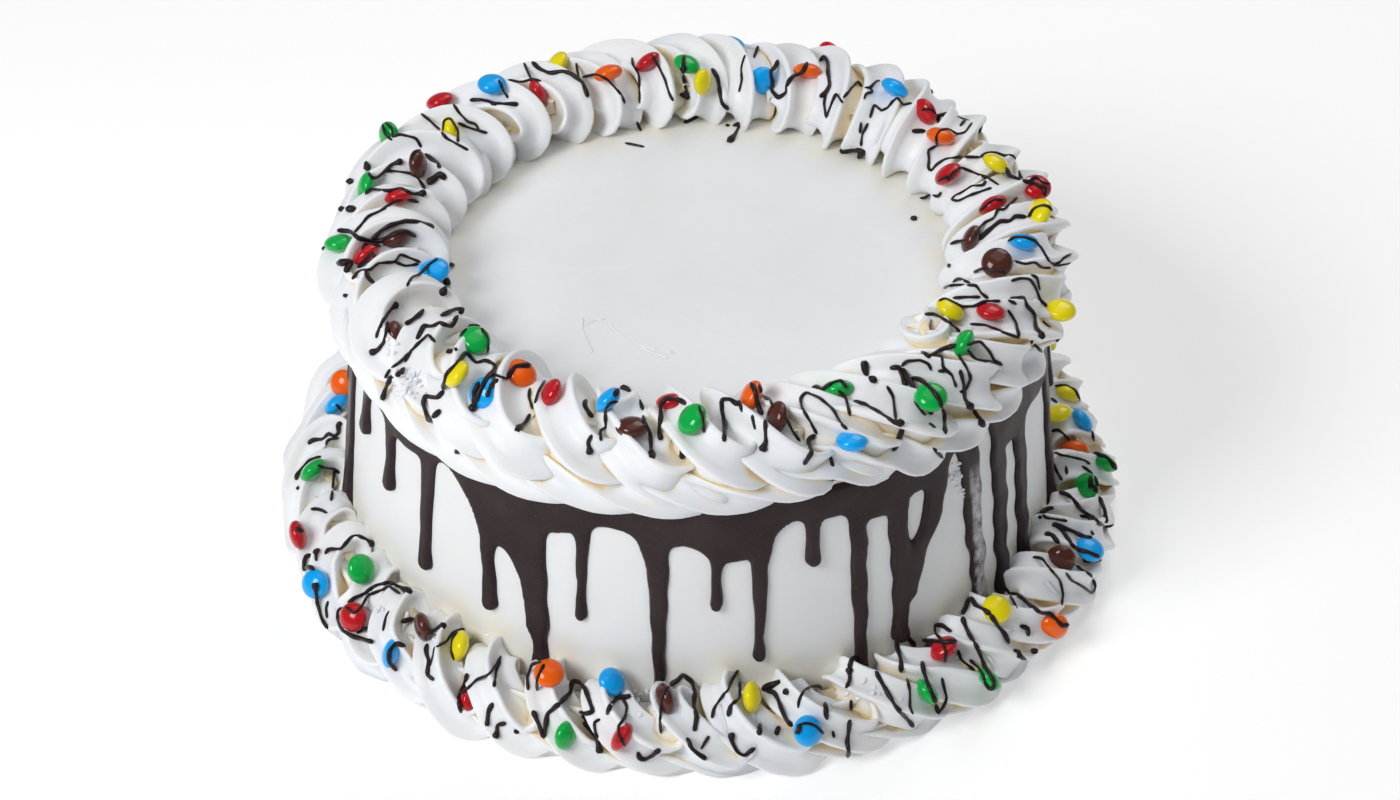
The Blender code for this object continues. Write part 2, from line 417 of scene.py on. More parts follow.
def chocolateMaterial(name, look):
    material, tree, shader = newMaterial(name, look["dark"], look["dull"])
    shader.inputs["Specular IOR Level"].default_value = look["shine"]
    kinds = chocolatePatterns

    def pattern(kind, detail, roughness, *spreadTo):
        scale, *used = kinds[kind]
        return spread(tree, noiseNode(tree, scale, detail, roughness), *used, *spreadTo)

    haze = pattern("haze", 4, 0.5, 0.0, kinds["hazeMost"])
    hazy = mixColours(tree, haze, look["dark"], look["bloom"])
    speckled = mixColours(tree, pattern("specks", 3, 0.7), hazy, look["bloom"])
    patchy = pattern("patchy", 5, 0.75, kinds["patchyLeast"], 1.0)
    film = addNode(
        tree, "ShaderNodeMath", {"operation": "MULTIPLY"}, i0=marked(tree, "film"), i1=patchy
    ).outputs[0]
    tree.links.new(mixColours(tree, film, speckled, look["film"]), shader.inputs["Base Color"])
    dullness = pattern("dullness", 4, 0.5, look["smooth"], look["dull"])
    tree.links.new(dullness, shader.inputs["Roughness"])
    fineScale, *fine = kinds["fine"]
    wavyScale, *wavy = kinds["wavy"]
    grain = bumpFrom(tree, noiseNode(tree, fineScale, 4, 0.6), *fine)
    relief = bumpFrom(tree, noiseNode(tree, wavyScale, 2), *wavy, grain)
    tree.links.new(relief, shader.inputs["Normal"])
    return material


sweetColours = {
    "blue": (0.0, 0.38, 0.90),
    "green": (0.0, 0.40, 0.062),
    "red": (0.50, 0.007, 0.014),
    "orange": (0.88, 0.120, 0.002),
    "yellow": (0.82, 0.70, 0.002),
    "brown": (0.080, 0.020, 0.014),
}
shellLook = {
    "roughness": 0.3,
    "shine": 0.3,
    "shineWhite": 0.15,  # how white the shine is; the rest is the shell's own colour
    "coat": 0.65,
    "coatRoughness": 0.07,
    # scale and range of the worn patches, how much they show, and how pale they are
    "worn": (260, 0.6, 0.85),
    "wornMost": 0.12,
    "pale": (0.25, 0.8),
    "dents": (420, 0.3 * mm, 0.18),
}


def sweetMaterial(colour):
    base = sweetColours[colour]
    material, tree, shader = newMaterial(colour + "Shell", base, shellLook["roughness"])
    shader.inputs["Specular IOR Level"].default_value = shellLook["shine"]
    white = shellLook["shineWhite"]
    shader.inputs["Specular Tint"].default_value = (*[white + (1 - white) * part for part in base], 1)
    shader.inputs["Coat Weight"].default_value = shellLook["coat"]
    shader.inputs["Coat Roughness"].default_value = shellLook["coatRoughness"]
    share, grey = shellLook["pale"]
    pale = [(1 - share) * part + share * grey for part in base]
    wornScale, *wornRange = shellLook["worn"]
    worn = spread(tree, noiseNode(tree, wornScale, 5, 0.65), *wornRange, 0.0, shellLook["wornMost"])
    tree.links.new(mixColours(tree, worn, base, pale), shader.inputs["Base Color"])
    dentScale, *dents = shellLook["dents"]
    tree.links.new(bumpFrom(tree, noiseNode(tree, dentScale, 3), *dents), shader.inputs["Normal"])
    return material


# Iced body

body = {
    "around": 360,
    "edgeRound": 4.2 * mm,
    "edgeRows": 8,
    "wallRow": 1.2 * mm,
    "discRow": 1.0 * mm,
    # how far apart and how deep the waves of the icing are
    "wallLong": (45 * mm, 0.70 * mm),
    "wallFine": (5 * mm, 0.06 * mm),
    "wallStrokes": (11 * mm, 0.16 * mm),
    "topLong": (50 * mm, 0.60 * mm),
    "topFine": (4 * mm, 0.05 * mm),
    "topStrokes": (20 * mm, 0.10 * mm),
}


def waves(place, size, amount):
    return amount * noise.noise(Vector(place) / size)


def wallWave(angle, height):
    # long waves, strokes of the spatula that run round, and a fine grain
    place = aroundCake(angle, footRadius, height)
    apart, deep = body["wallStrokes"]
    strokes = waves((angle * 2.2, height / apart + math.sin(angle * 3) * 1.3, 4.0), 1.0, deep)
    return waves(place, *body["wallLong"]) + strokes + waves(place, *body["wallFine"])


def topWave(x, y):
    apart, deep = body["topStrokes"]
    strokes = waves((math.hypot(x, y) / apart, math.atan2(y, x) * 0.8, 7.0), 1.0, deep)
    return waves((x, y, 0.3), *body["topLong"]) + strokes + waves((x, y, 2), *body["topFine"])


def wallPoint(angle, height, out=0.0):
    return aroundCake(angle, wallRadius(height) + wallWave(angle, height) + out, height)


def bodyRows():
    # (radius, height, how far it belongs to the wall), from the middle of the top to the foot
    edge = body["edgeRound"]
    rows = []
    flat = rimRadius - edge
    count = int(flat / body["discRow"])
    for step in range(1, count + 1):
        rows.append((flat * step / count, icingTop, 0.0))
    for step in range(1, body["edgeRows"] + 1):
        turn = math.pi / 2 * step / body["edgeRows"]
        height = icingTop - edge + edge * math.cos(turn)
        inset = edge - edge * math.sin(turn)
        rows.append((wallRadius(height) - inset, height, math.sin(turn) ** 2))
    count = int((icingTop - edge) / body["wallRow"])
    for step in range(1, count + 1):
        height = (icingTop - edge) * (1 - step / count)
        rows.append((wallRadius(height), height, 1.0))
    return rows


def makeBody(material):
    rows = bodyRows()
    around = body["around"]
    points = [Vector((0, 0, icingTop))]
    for radius, height, wall in rows:
        for side in range(around):
            angle = 2 * math.pi * side / around
            place = aroundCake(angle, radius + wall * wallWave(angle, height), height)
            place.z = max(0.0, place.z + (1 - wall) * topWave(place.x, place.y))
            points.append(place)
    faces = [(0, 1 + side, 1 + (side + 1) % around) for side in range(around)]
    for row in range(len(rows) - 1):
        start = 1 + row * around
        for side in range(around):
            near, far = start + side, start + (side + 1) % around
            faces.append((near, near + around, far + around, far))
    last = 1 + (len(rows) - 1) * around
    points.append(Vector((0, 0, 0)))
    faces += [(len(points) - 1, last + (side + 1) % around, last + side) for side in range(around)]
    piece = meshPiece("iced_body", points, faces, material)
    print("iced body:", len(faces), "faces")
    return piece


def markPaintedNearShade(piece, trees):
    # how near each point is to the piping, where the icing gets a painted warm shade
    mean, varied = icingLook["paintedNearShadeUneven"]
    values = []
    for point in piece.data.vertices:
        far = min(tree.find_nearest(point.co)[3] for tree in trees)
        share = max(0.0, 1 - far / icingLook["paintedNearShadeReach"])
        uneven = mean + varied * noise.noise(point.co / icingLook["paintedNearShadePatch"])
        values.append(min(1.0, share ** icingLook["paintedNearShadeFall"] * uneven))
    setPointValues(piece, "near", values)


# Piped rope, laid in loops on its side

topRope = {
    "loops": 35,
    "centre": (95.6 * mm, 0.0),
    "lean": 0.0,
    "reach": 10.4 * mm,
    "tipRadius": 9.6 * mm,
    "heights": (7.6, 3.7, 0.0, 1.2),
    "flow": ((-180, 4, 4), (-125, 6, 2), (-75, 6, 1), (-35, 5, 1.5), (-8, 4.5, 3), (15, 3.5, 6),
             (40, 3, 8), (70, 4, 4), (110, 3.5, 3)),
    "uneven": 0.10,
    "seed": 5,
    "join": 50.0,
    "top": 30 * mm,
    "swirlTurns": 1.8,
    "swirlRadius": 6.0 * mm,
    "swirlRise": 9.0 * mm,
    "swirlShift": -7.0 * mm,
    "loose": 0.8 * mm,
    "ragged": 0.5 * mm,
    "perLoop": 40,
    "core": (95.6 * mm, 4.0 * mm, 9.5 * mm),
    "skirt": (107.0 * mm, 2.6 * mm, 8.0 * mm),
    # how far the skirt hangs lower: degrees and millimetres
    "droop": ((-180, 1), (-80, 1.5), (-64, 1.5), (-48, 5), (-32, 5.5), (-14, 4), (0, 3), (12, 0.5),
              (20, -2), (27, 0.5), (35, 4), (50, 4.5), (64, 2), (85, 1)),
}

footRope = {
    "loops": 41,
    "centre": (122.4 * mm, 12.0 * mm),
    "lean": 50.0,
    "reach": 8.0 * mm,
    "tipRadius": 7.8 * mm,
    "heights": (1.4, 2.4, 0.0, 0.7),
    "flow": ((-180, 4, 3), (-90, 4, 4), (-45, 3, 5), (-10, 4, 3), (30, 3, 6), (70, 3, 5), (120, 4, 3)),
    "uneven": 0.20,
    "seed": 9,
    "join": 140.0,
    "top": 25 * mm,
    "swirlTurns": 0.8,
    "swirlRadius": 7.0 * mm,
    "swirlRise": 1.5 * mm,
    "swirlShift": 0.0,
    "loose": 2.4 * mm,
    "ragged": 0.9 * mm,
    "perLoop": 34,
    "core": (122.0 * mm, 8.6 * mm, 8.4 * mm),
    "skirt": (126.2 * mm, 5.0 * mm, 7.4 * mm),
    "droop": ((0, 0),),
}

# What both coils share
coil = {
    # how much the loops differ: height, thickness, place along the ring, slant
    "heightUneven": 0.9 * mm,
    "sizeUneven": 0.07,
    "lagUneven": 0.12,
    "slantUneven": 1.3,
    "pulse": 0.05,
    "looseScale": 16 * mm,
    "looseOffsets": ((7.3, 31.6, 12.2), (41.5, 9.7, 3.9), (2.8, 16.1, 24.6)),
    # how much tighter and thinner the swirl gets by its end, and how soon it starts to wind
    "swirlTighter": 0.72,
    "swirlThinner": 0.38,
    "swirlOnset": 3,
    "ringSteps": 8,
    "ringPulse": 0.05,
    "ringPulsePace": 9,
    "aboveFloor": 0.05 * mm,
}

nozzle = {
    "teeth": 5,
    "tip": 1.03,
    "groove": 0.57,
    "lip": 4.5,
    "scoopSteps": 8,
    "raggedScale": 210.0,
}


def nozzleOutline():
    # round scoops between thin lips, around a circle of radius 1
    half = math.pi / nozzle["teeth"]
    gap = half - math.radians(nozzle["lip"])
    groove = nozzle["groove"]
    scoop = ((math.cos(gap) - groove) ** 2 + math.sin(gap) ** 2) / (2 * (math.cos(gap) - groove))
    middle = scoop + groove
    outline = []
    for tooth in range(nozzle["teeth"]):
        facing = tooth * 2 * half
        outline.append((facing, nozzle["tip"]))
        for step in range(nozzle["scoopSteps"] + 1):
            off = gap * (2 * step / nozzle["scoopSteps"] - 1)
            inner = math.sqrt(max(0.0, scoop ** 2 - (middle * math.sin(off)) ** 2))
            outline.append((facing + half + off, middle * math.cos(off) - inner))
    curve = bpy.data.curves.new("nozzle", "CURVE")
    spline = curve.splines.new("POLY")
    spline.points.add(len(outline) - 1)
    for point, (angle, radius) in zip(spline.points, outline):
        point.co = (radius * math.cos(angle), radius * math.sin(angle), 0, 1)
    spline.use_cyclic_u = True
    return newObject("nozzle", curve)


def wander(place):
    # smooth noise in each of the three directions
    return Vector([noise.noise(place + Vector(offset)) for offset in coil["looseOffsets"]])


def ropePath(rope, floorHeight):
    # a coil that lies on its side: each loop rests on the one before it, and the last winds in
    draw = random.Random(rope["seed"])
    loops = rope["loops"]
    wide = easedDraws(draw, loops, rope["uneven"])
    high = easedDraws(draw, loops, coil["heightUneven"])
    fat = easedDraws(draw, loops, coil["sizeUneven"])
    lag = easedDraws(draw, loops, coil["lagUneven"])
    bend = easedDraws(draw, loops, coil["slantUneven"])
    mean, once, side, twice = [part * mm for part in rope["heights"]]
    flow = roundTheCake(rope["flow"])
    lean = math.radians(rope["lean"])
    middle, level = rope["centre"]
    path = []
    for step in range(int((loops + rope["swirlTurns"]) * rope["perLoop"]) + 1):
        loop = step / rope["perLoop"]
        turn = 2 * math.pi * loop
        ending = max(0.0, (loop - loops) / rope["swirlTurns"])
        ahead = 2 * math.pi * (min(loop, loops) + lag(loop)) / loops
        stride, slant = flow(math.radians(rope["join"]) + ahead)
        slant += bend(loop)
        swirl = min(1.0, ending * coil["swirlOnset"])
        wound = rope["swirlRadius"] * (1 - coil["swirlTighter"] * ending)
        reach = rope["reach"] * (1 + wide(loop)) * (1 - swirl) + wound * swirl
        stride = stride * mm * (1 - swirl) + wound * swirl
        across = reach * math.sin(turn) + rope["swirlShift"] * swirl
        proud = mean + once * math.cos(turn) + side * math.sin(turn) + twice * math.cos(2 * turn)
        proud += high(loop)
        proud = proud * (1 - swirl) + (mean + twice + rope["swirlRise"] * ending) * swirl
        along = slant * mm * (1 - swirl) * math.sin(turn) - stride * math.cos(turn)
        angle = math.radians(rope["join"]) + ahead + along / middle
        radius = middle + across * math.cos(lean) + proud * math.sin(lean)
        height = floorHeight + level - across * math.sin(lean) + proud * math.cos(lean)
        size = rope["tipRadius"] * (1 + fat(loop)) * (1 + coil["pulse"] * math.sin(turn))
        size *= 1 - coil["swirlThinner"] * ending
        place = aroundCake(angle, radius, height)
        place += wander(place / coil["looseScale"]) * rope["loose"]
        path.append((place, size, 0.0))
    return path


def ringPath(rope, part, floorHeight):
    # cream under the loops, and a twisted skirt below them with one lip for each loop
    radius, level, size = rope[part]
    steps = rope["loops"] * coil["ringSteps"]
    twist = rope["loops"] / nozzle["teeth"] * 2 * math.pi if part == "skirt" else 0.0
    droop = roundTheCake(rope["droop"])
    pace = coil["ringPulsePace"]
    path = []
    for step in range(steps + 1):
        share = step / steps
        angle = 2 * math.pi * share + math.radians(rope["join"])
        spot = Vector((math.cos(angle) * pace, math.sin(angle) * pace, size / mm))
        wave = 1 + coil["ringPulse"] * noise.noise(spot)
        low = droop(angle)[0] * mm if part == "skirt" else 0.0
        path.append((aroundCake(angle, radius, floorHeight + level - low), size * wave, share * twist))
    return path


sweepInputs = (("Rough", "Float"), ("Rough Scale", "Float"), ("Material", "Material"))


def roughSweep(tree, given, profile):
    # sweeps the profile along each path, as thick as the path says, and roughens it a little
    swept = addNode(
        tree, "GeometryNodeCurveToMesh", Curve=given["Geometry"],
        Scale=addNode(tree, "GeometryNodeInputRadius").outputs[0],
        **{"Profile Curve": profile, "Fill Caps": True},
    )
    rough = addNode(tree, "ShaderNodeTexNoise", Scale=given["Rough Scale"], Detail=2.0)
    centred = addNode(
        tree, "ShaderNodeMath", {"operation": "SUBTRACT"}, i0=rough.outputs["Fac"], i1=0.5
    )
    amount = addNode(
        tree, "ShaderNodeMath", {"operation": "MULTIPLY"}, i0=centred.outputs[0], i1=given["Rough"]
    )
    offset = addNode(
        tree, "ShaderNodeVectorMath", {"operation": "SCALE"},
        i0=addNode(tree, "GeometryNodeInputNormal").outputs[0], Scale=amount.outputs[0],
    )
    moved = addNode(
        tree, "GeometryNodeSetPosition", Geometry=swept.outputs[0], Offset=offset.outputs[0]
    )
    endTree(tree, moved.outputs[0], given["Material"])
    return tree


def ropeTree():
    tree, given = newTree("pipedRope", (("Nozzle", "Object"), *sweepInputs))
    shape = addNode(tree, "GeometryNodeObjectInfo", Object=given["Nozzle"])
    return roughSweep(tree, given, shape.outputs["Geometry"])


foldRays = {
    "count": 9,
    "reach": 11 * mm,
    "lift": 0.15 * mm,
    "wide": 0.98,
    "farLoss": 0.6,  # how much less a far hit counts than a near one
    "gain": 1.5,
}


def markPaintedFoldShade(piece):
    # how shut in each point is, from 0 in the open to 1 deep in a fold; the cream's colour paints shade
    # into the folds by it
    tree = rayTree(piece)
    count = foldRays["count"]
    spiral = []
    for step in range(count):
        height = 1 - (2 * step + 1) / count
        turn = step * math.pi * (3 - math.sqrt(5))
        width = math.sqrt(1 - height * height)
        spiral.append(Vector((width * math.cos(turn), width * math.sin(turn), height)))
    shut = []
    for point in piece.data.vertices:
        start = point.co + point.normal * foldRays["lift"]
        hits = 0.0
        for way in spiral:
            far = tree.ray_cast(start, point.normal + way * foldRays["wide"], foldRays["reach"])[3]
            if far is not None:
                hits += 1 - foldRays["farLoss"] * far / foldRays["reach"]
        shut.append(min(1.0, hits / count * foldRays["gain"]))
    setPointValues(piece, "paintedFoldShade", shut)


def makeRope(name, rope, floorHeight, tree, shape, material):
    strands = [ropePath(rope, floorHeight)]
    strands += [ringPath(rope, part, floorHeight) for part in ("core", "skirt")]
    piece = bakedNodes(name, curveObject(name + "_path", strands), tree, {
        "Nozzle": shape, "Rough": rope["ragged"], "Rough Scale": nozzle["raggedScale"],
        "Material": material,
    })
    for point in piece.data.vertices:
        point.co.z = max(point.co.z, footLow.z + coil["aboveFloor"])
    markPaintedFoldShade(piece)
    print(name + ":", len(piece.data.polygons), "faces")
    return piece


# Chocolate band and its runs

chocolate = {
    "step": 0.8 * mm,
    "top": icingTop - 4 * mm,
    "bottom": 14 * mm,
    "behindFoot": 17.0,
    "bandThickness": 1.2 * mm,
    "dropThickness": 2.3 * mm,
    "edge": 1.7 * mm,
    "blend": 1.6,
    "wavy": 0.45,
    "seed": 21,
    # each run: degrees right of the front and millimetres up for its points, width at top and end
    "runs": (
        (((-78.3, 84), (-78.3, 17)), 11.0, 9.5),
        (((-66.7, 84), (-66.7, 62.6)), 7.0, 5.6),
        (((-57.2, 84), (-57.2, 53.8)), 6.5, 5.2),
        (((-47.1, 84), (-47.1, 36.4)), 7.0, 5.2),
        (((-37.5, 84), (-34.5, 62), (-33.4, 35.8)), 9.0, 5.0),
        (((-27, 86), (-26.0, 60), (-24.2, 17)), 12.0, 5.6),
        (((-29.5, 62), (-26.6, 50), (-25.2, 34)), 10.0, 4.6),
        (((-18.0, 84), (-18.0, 41.8)), 6.0, 3.4),
        (((-8.0, 84), (-6.2, 62), (-5.9, 17)), 11.0, 3.8),
        (((2.6, 84), (2.6, 49.4)), 6.0, 3.2),
        (((10.0, 84), (9.2, 60), (9.0, 30.3)), 9.0, 3.4),
        (((17.5, 84), (17.5, 61.7)), 5.5, 4.6),
        (((25.0, 84), (25.0, 17)), 6.5, 4.6),
        (((31.8, 84), (32.2, 55), (32.0, 25)), 8.5, 5.8),
        (((40.9, 84), (38.6, 64), (33.2, 40)), 11.5, 6.0),
        (((46.9, 84), (47.3, 60), (49.0, 17)), 10.0, 6.6),
        (((54.7, 84), (54.9, 17)), 9.5, 6.4),
        (((61.7, 84), (61.7, 17)), 8.0, 6.4),
        (((77.6, 84), (77.6, 17)), 9.0, 7.0),
    ),
    # how low the band itself comes between the runs: degrees and millimetres up
    "band": ((-85, 79), (-73, 78), (-62, 76), (-52.8, 72), (-43.5, 76), (-31.5, 58), (-23.0, 68),
             (-14.6, 74), (-2.7, 70), (5.6, 64.5), (15, 76), (21.5, 74.5), (28.4, 69.5), (35.5, 73),
             (44.6, 84), (51.8, 82), (57.8, 67), (66, 70), (71.8, 68), (85, 76)),
    # how far the runs wander sideways, in millimetres, on the left and on the right; the degrees
    # where that starts to grow and over which it grows; and how long the two waves of it are
    "wander": (0.2, 0.75),
    "wanderGrows": (20, 20),
    "wanderPace": (2.6, 7.1),
    # the neck above a run's drop and the drop: share of the width, then millimetres from the end
    "neck": (0.14, 11, 6),
    "drop": (0.10, 3),
    "ripples": (13, 8 * mm),
    "belowTop": 0.5 * mm,
    # how deep the back and the lip of the chocolate sit in the icing
    "backSunk": 0.25 * mm,
    "lipSunk": 0.05 * mm,
    # the run that was smeared to a pale film: degrees at its top and foot, width and top in millimetres
    "film": (47.5, 49.3, 5.2, 72.0),
    "filmRagged": (0.5, 2 * mm),
    "filmFade": (0.6, 6),  # millimetres over which it ends, sideways and at its top
    # round the back: between these degrees, by these ranges
    "hiddenFrom": 77.6,
    "hiddenTo": 273,
    "hiddenStep": (10.0, 17.0),
    "hiddenDrift": 1.2,
    "hiddenTop": 84,
    "hiddenLong": 30,  # the runs that come lower than this go on behind the foot ring
    "hiddenFunnel": 1.5,
    "hiddenEnd": (17.0, 62.0),
    "hiddenWidth": (3.6, 7.0),
    "hiddenBand": (62.0, 78.0),
    "hiddenBandFrom": 90,
    "hiddenBandBefore": 5,
}


def allRuns():
    # the shown runs, and others like them round the back
    runs, band = list(chocolate["runs"]), list(chocolate["band"])
    draw = random.Random(chocolate["seed"])
    angle = chocolate["hiddenFrom"] + draw.uniform(*chocolate["hiddenStep"])
    while angle <= chocolate["hiddenTo"]:
        end = draw.uniform(*chocolate["hiddenEnd"])
        end = chocolate["behindFoot"] if end < chocolate["hiddenLong"] else end
        width = draw.uniform(*chocolate["hiddenWidth"])
        drift = draw.uniform(-chocolate["hiddenDrift"], chocolate["hiddenDrift"])
        spots = ((angle + drift, chocolate["hiddenTop"]), (angle, end))
        runs.append((spots, width * chocolate["hiddenFunnel"], width))
        if angle > chocolate["hiddenBandFrom"]:
            low = draw.uniform(*chocolate["hiddenBand"])
            band.append((angle - chocolate["hiddenBandBefore"], low))
        angle += draw.uniform(*chocolate["hiddenStep"])
    return runs, band


def capsuleDepth(along, up, run):
    # how far inside a run each point of the flat grid is, in millimetres, and how near its end
    spots, topWidth, endWidth = run
    middle = middleRadius / mm
    places = [(math.radians(a) * middle, z) for a, z in spots]
    calm, lively = chocolate["wander"]
    growsFrom, growsOver = chocolate["wanderGrows"]
    quick, slow = chocolate["wanderPace"]
    first = spots[0][0]
    amount = calm + (lively - calm) * min(1.0, max(0.0, (first - growsFrom) / growsOver))
    along = along + amount * np.sin(up / quick + first) * np.sin(up / slow + first * 3)
    neck, neckAt, neckLong = chocolate["neck"]
    drop, dropLong = chocolate["drop"]
    lengths = [math.dist(p, q) for p, q in zip(places, places[1:])]
    total, gone = sum(lengths), 0.0
    best, nearEnd = np.full(along.shape, -1e3), np.zeros(along.shape)
    for (p, q), length in zip(zip(places, places[1:]), lengths):
        du, dv = (q[0] - p[0]) / length, (q[1] - p[1]) / length
        offset = (along - p[0] + math.pi * middle) % (2 * math.pi * middle) - math.pi * middle
        share = np.clip(offset * du + (up - p[1]) * dv, 0, length)
        far = np.hypot(offset - share * du, up - p[1] - share * dv)
        down = (gone + share) / total
        left = total * (1 - down)
        width = endWidth + (topWidth - endWidth) * (1 - down) ** 2
        thinner = neck * np.exp(-((left - neckAt) / neckLong) ** 2)
        width = width * (1 - thinner + drop * np.exp(-(left / dropLong) ** 2))
        inside = width / 2 - far
        nearEnd = np.where(inside > best, down ** 2, nearEnd)
        best = np.maximum(best, inside)
        gone += length
    return best, nearEnd


def chocolateField(along, up):
    # positive inside the chocolate; and how thick it is there
    runs, band = allRuns()
    blend = chocolate["blend"]
    low = roundTheCake(band)
    edge = np.array([low(a)[0] for a in along[0] / (middleRadius / mm)])
    depths = [np.broadcast_to(up - edge, up.shape)]
    thick = [np.full(up.shape, chocolate["bandThickness"])]
    for run in runs:
        inside, nearEnd = capsuleDepth(along, up, run)
        depths.append(inside)
        thick.append(chocolate["bandThickness"]
                     + (chocolate["dropThickness"] - chocolate["bandThickness"]) * nearEnd)
    weights = np.exp(np.clip(np.array(depths) / blend, -30, 30))
    field = blend * np.log(weights.sum(axis=0))
    thickness = (weights * np.array(thick)).sum(axis=0) / weights.sum(axis=0)
    return field, thickness


def chocolateGrid():
    columns = int(2 * math.pi * middleRadius / chocolate["step"])
    rows = int((chocolate["top"] - chocolate["bottom"]) / chocolate["step"]) + 1
    angles = np.arange(columns) * 2 * math.pi / columns - math.pi
    heights = chocolate["bottom"] + np.arange(rows) * chocolate["step"]
    along, up = np.meshgrid(angles * middleRadius / mm, heights / mm)
    field, thickness = chocolateField(along, up)
    pace, long = chocolate["ripples"]
    ripple = np.array([[
        noise.noise(Vector((math.sin(a) * pace, math.cos(a) * pace, z / long))) for a in angles
    ] for z in heights])
    field = field + ripple * chocolate["wavy"]
    field = np.minimum(field, (chocolate["top"] - chocolate["belowTop"]) / mm - up)
    return angles, heights, field, thickness


def makeChocolate(material):
    angles, heights, field, thickness = chocolateGrid()
    columns, rows = len(angles), len(heights)
    gridAngle = 2 * math.pi / columns
    points, front, back, rim = [], {}, {}, {}
    edge = chocolate["edge"] / mm

    def gridPoint(row, column):
        key = (row, column)
        if key not in front:
            share = min(1.0, field[key] / edge)
            out = thickness[key] * math.sqrt(1 - (1 - share) ** 2)
            front[key] = len(points)
            points.append(wallPoint(angles[column], heights[row], out))
            back[key] = len(points)
            points.append(wallPoint(angles[column], heights[row], -chocolate["backSunk"]))
        return front[key], back[key]

    def edgePoint(a, b):
        key = (min(a, b), max(a, b))
        if key not in rim:
            fa, fb = field[a], field[b]
            share = fa / (fa - fb)
            turn = (b[1] - a[1] + columns // 2) % columns - columns // 2
            angle = angles[a[1]] + share * turn * gridAngle
            height = heights[a[0]] + share * (heights[b[0]] - heights[a[0]])
            rim[key] = len(points)
            points.append(wallPoint(angle, height, -chocolate["lipSunk"]))
        return rim[key], rim[key]

    faces = []
    solid = field > 0
    for row in range(rows - 1):
        for column in range(columns):
            after = (column + 1) % columns
            corners = ((row, column), (row, after), (row + 1, after), (row + 1, column))
            states = [solid[c] for c in corners]
            if not any(states):
                continue
            loop = []
            for place, corner in enumerate(corners):
                nextCorner = corners[(place + 1) % 4]
                if solid[corner]:
                    loop.append(gridPoint(*corner))
                if solid[corner] != solid[nextCorner]:
                    loop.append(edgePoint(corner, nextCorner))
            if len(loop) > 2:
                faces.append([pair[0] for pair in loop])
                if any(pair[0] != pair[1] for pair in loop):
                    faces.append([pair[1] for pair in reversed(loop)])
    piece = meshPiece("chocolate_runs", points, faces, material)
    setPointValues(piece, "film", [filmShare(point) for point in points])
    print("chocolate:", len(faces), "faces")
    return piece


def filmShare(point):
    # 1 in the middle of the smeared run, 0 on all other chocolate
    topDegrees, footDegrees, width, top = chocolate["film"]
    up = point.z / mm
    degrees = math.degrees(math.atan2(point.x, -point.y))
    middle = topDegrees + (footDegrees - topDegrees) * (1 - min(1.0, up / top))
    amount, size = chocolate["filmRagged"]
    ragged = amount * noise.noise(point / size)
    off = abs(math.radians(degrees - middle)) * wallRadius(point.z) / mm + ragged
    sideways, upwards = chocolate["filmFade"]
    inside = min(1.0, max(0.0, (width / 2 - off) / sideways))
    return inside * min(1.0, max(0.0, (top - up) / upwards))


# Sight lines

sightLines = {"reach": 2.0, "shortOf": 2 * mm}


def castOnto(trees, start, way, reach):
    best = None
    for tree in trees:
        far = tree.ray_cast(start, way, reach)[3]
        if far is not None and (best is None or far < best):
            best = far
    return best


def outOfSight(place, trees):
    eye = camera.matrix_world.translation
    way = place - eye
    return castOnto(trees, eye, way.normalized(), way.length - sightLines["shortOf"]) is not None


# Button sweets

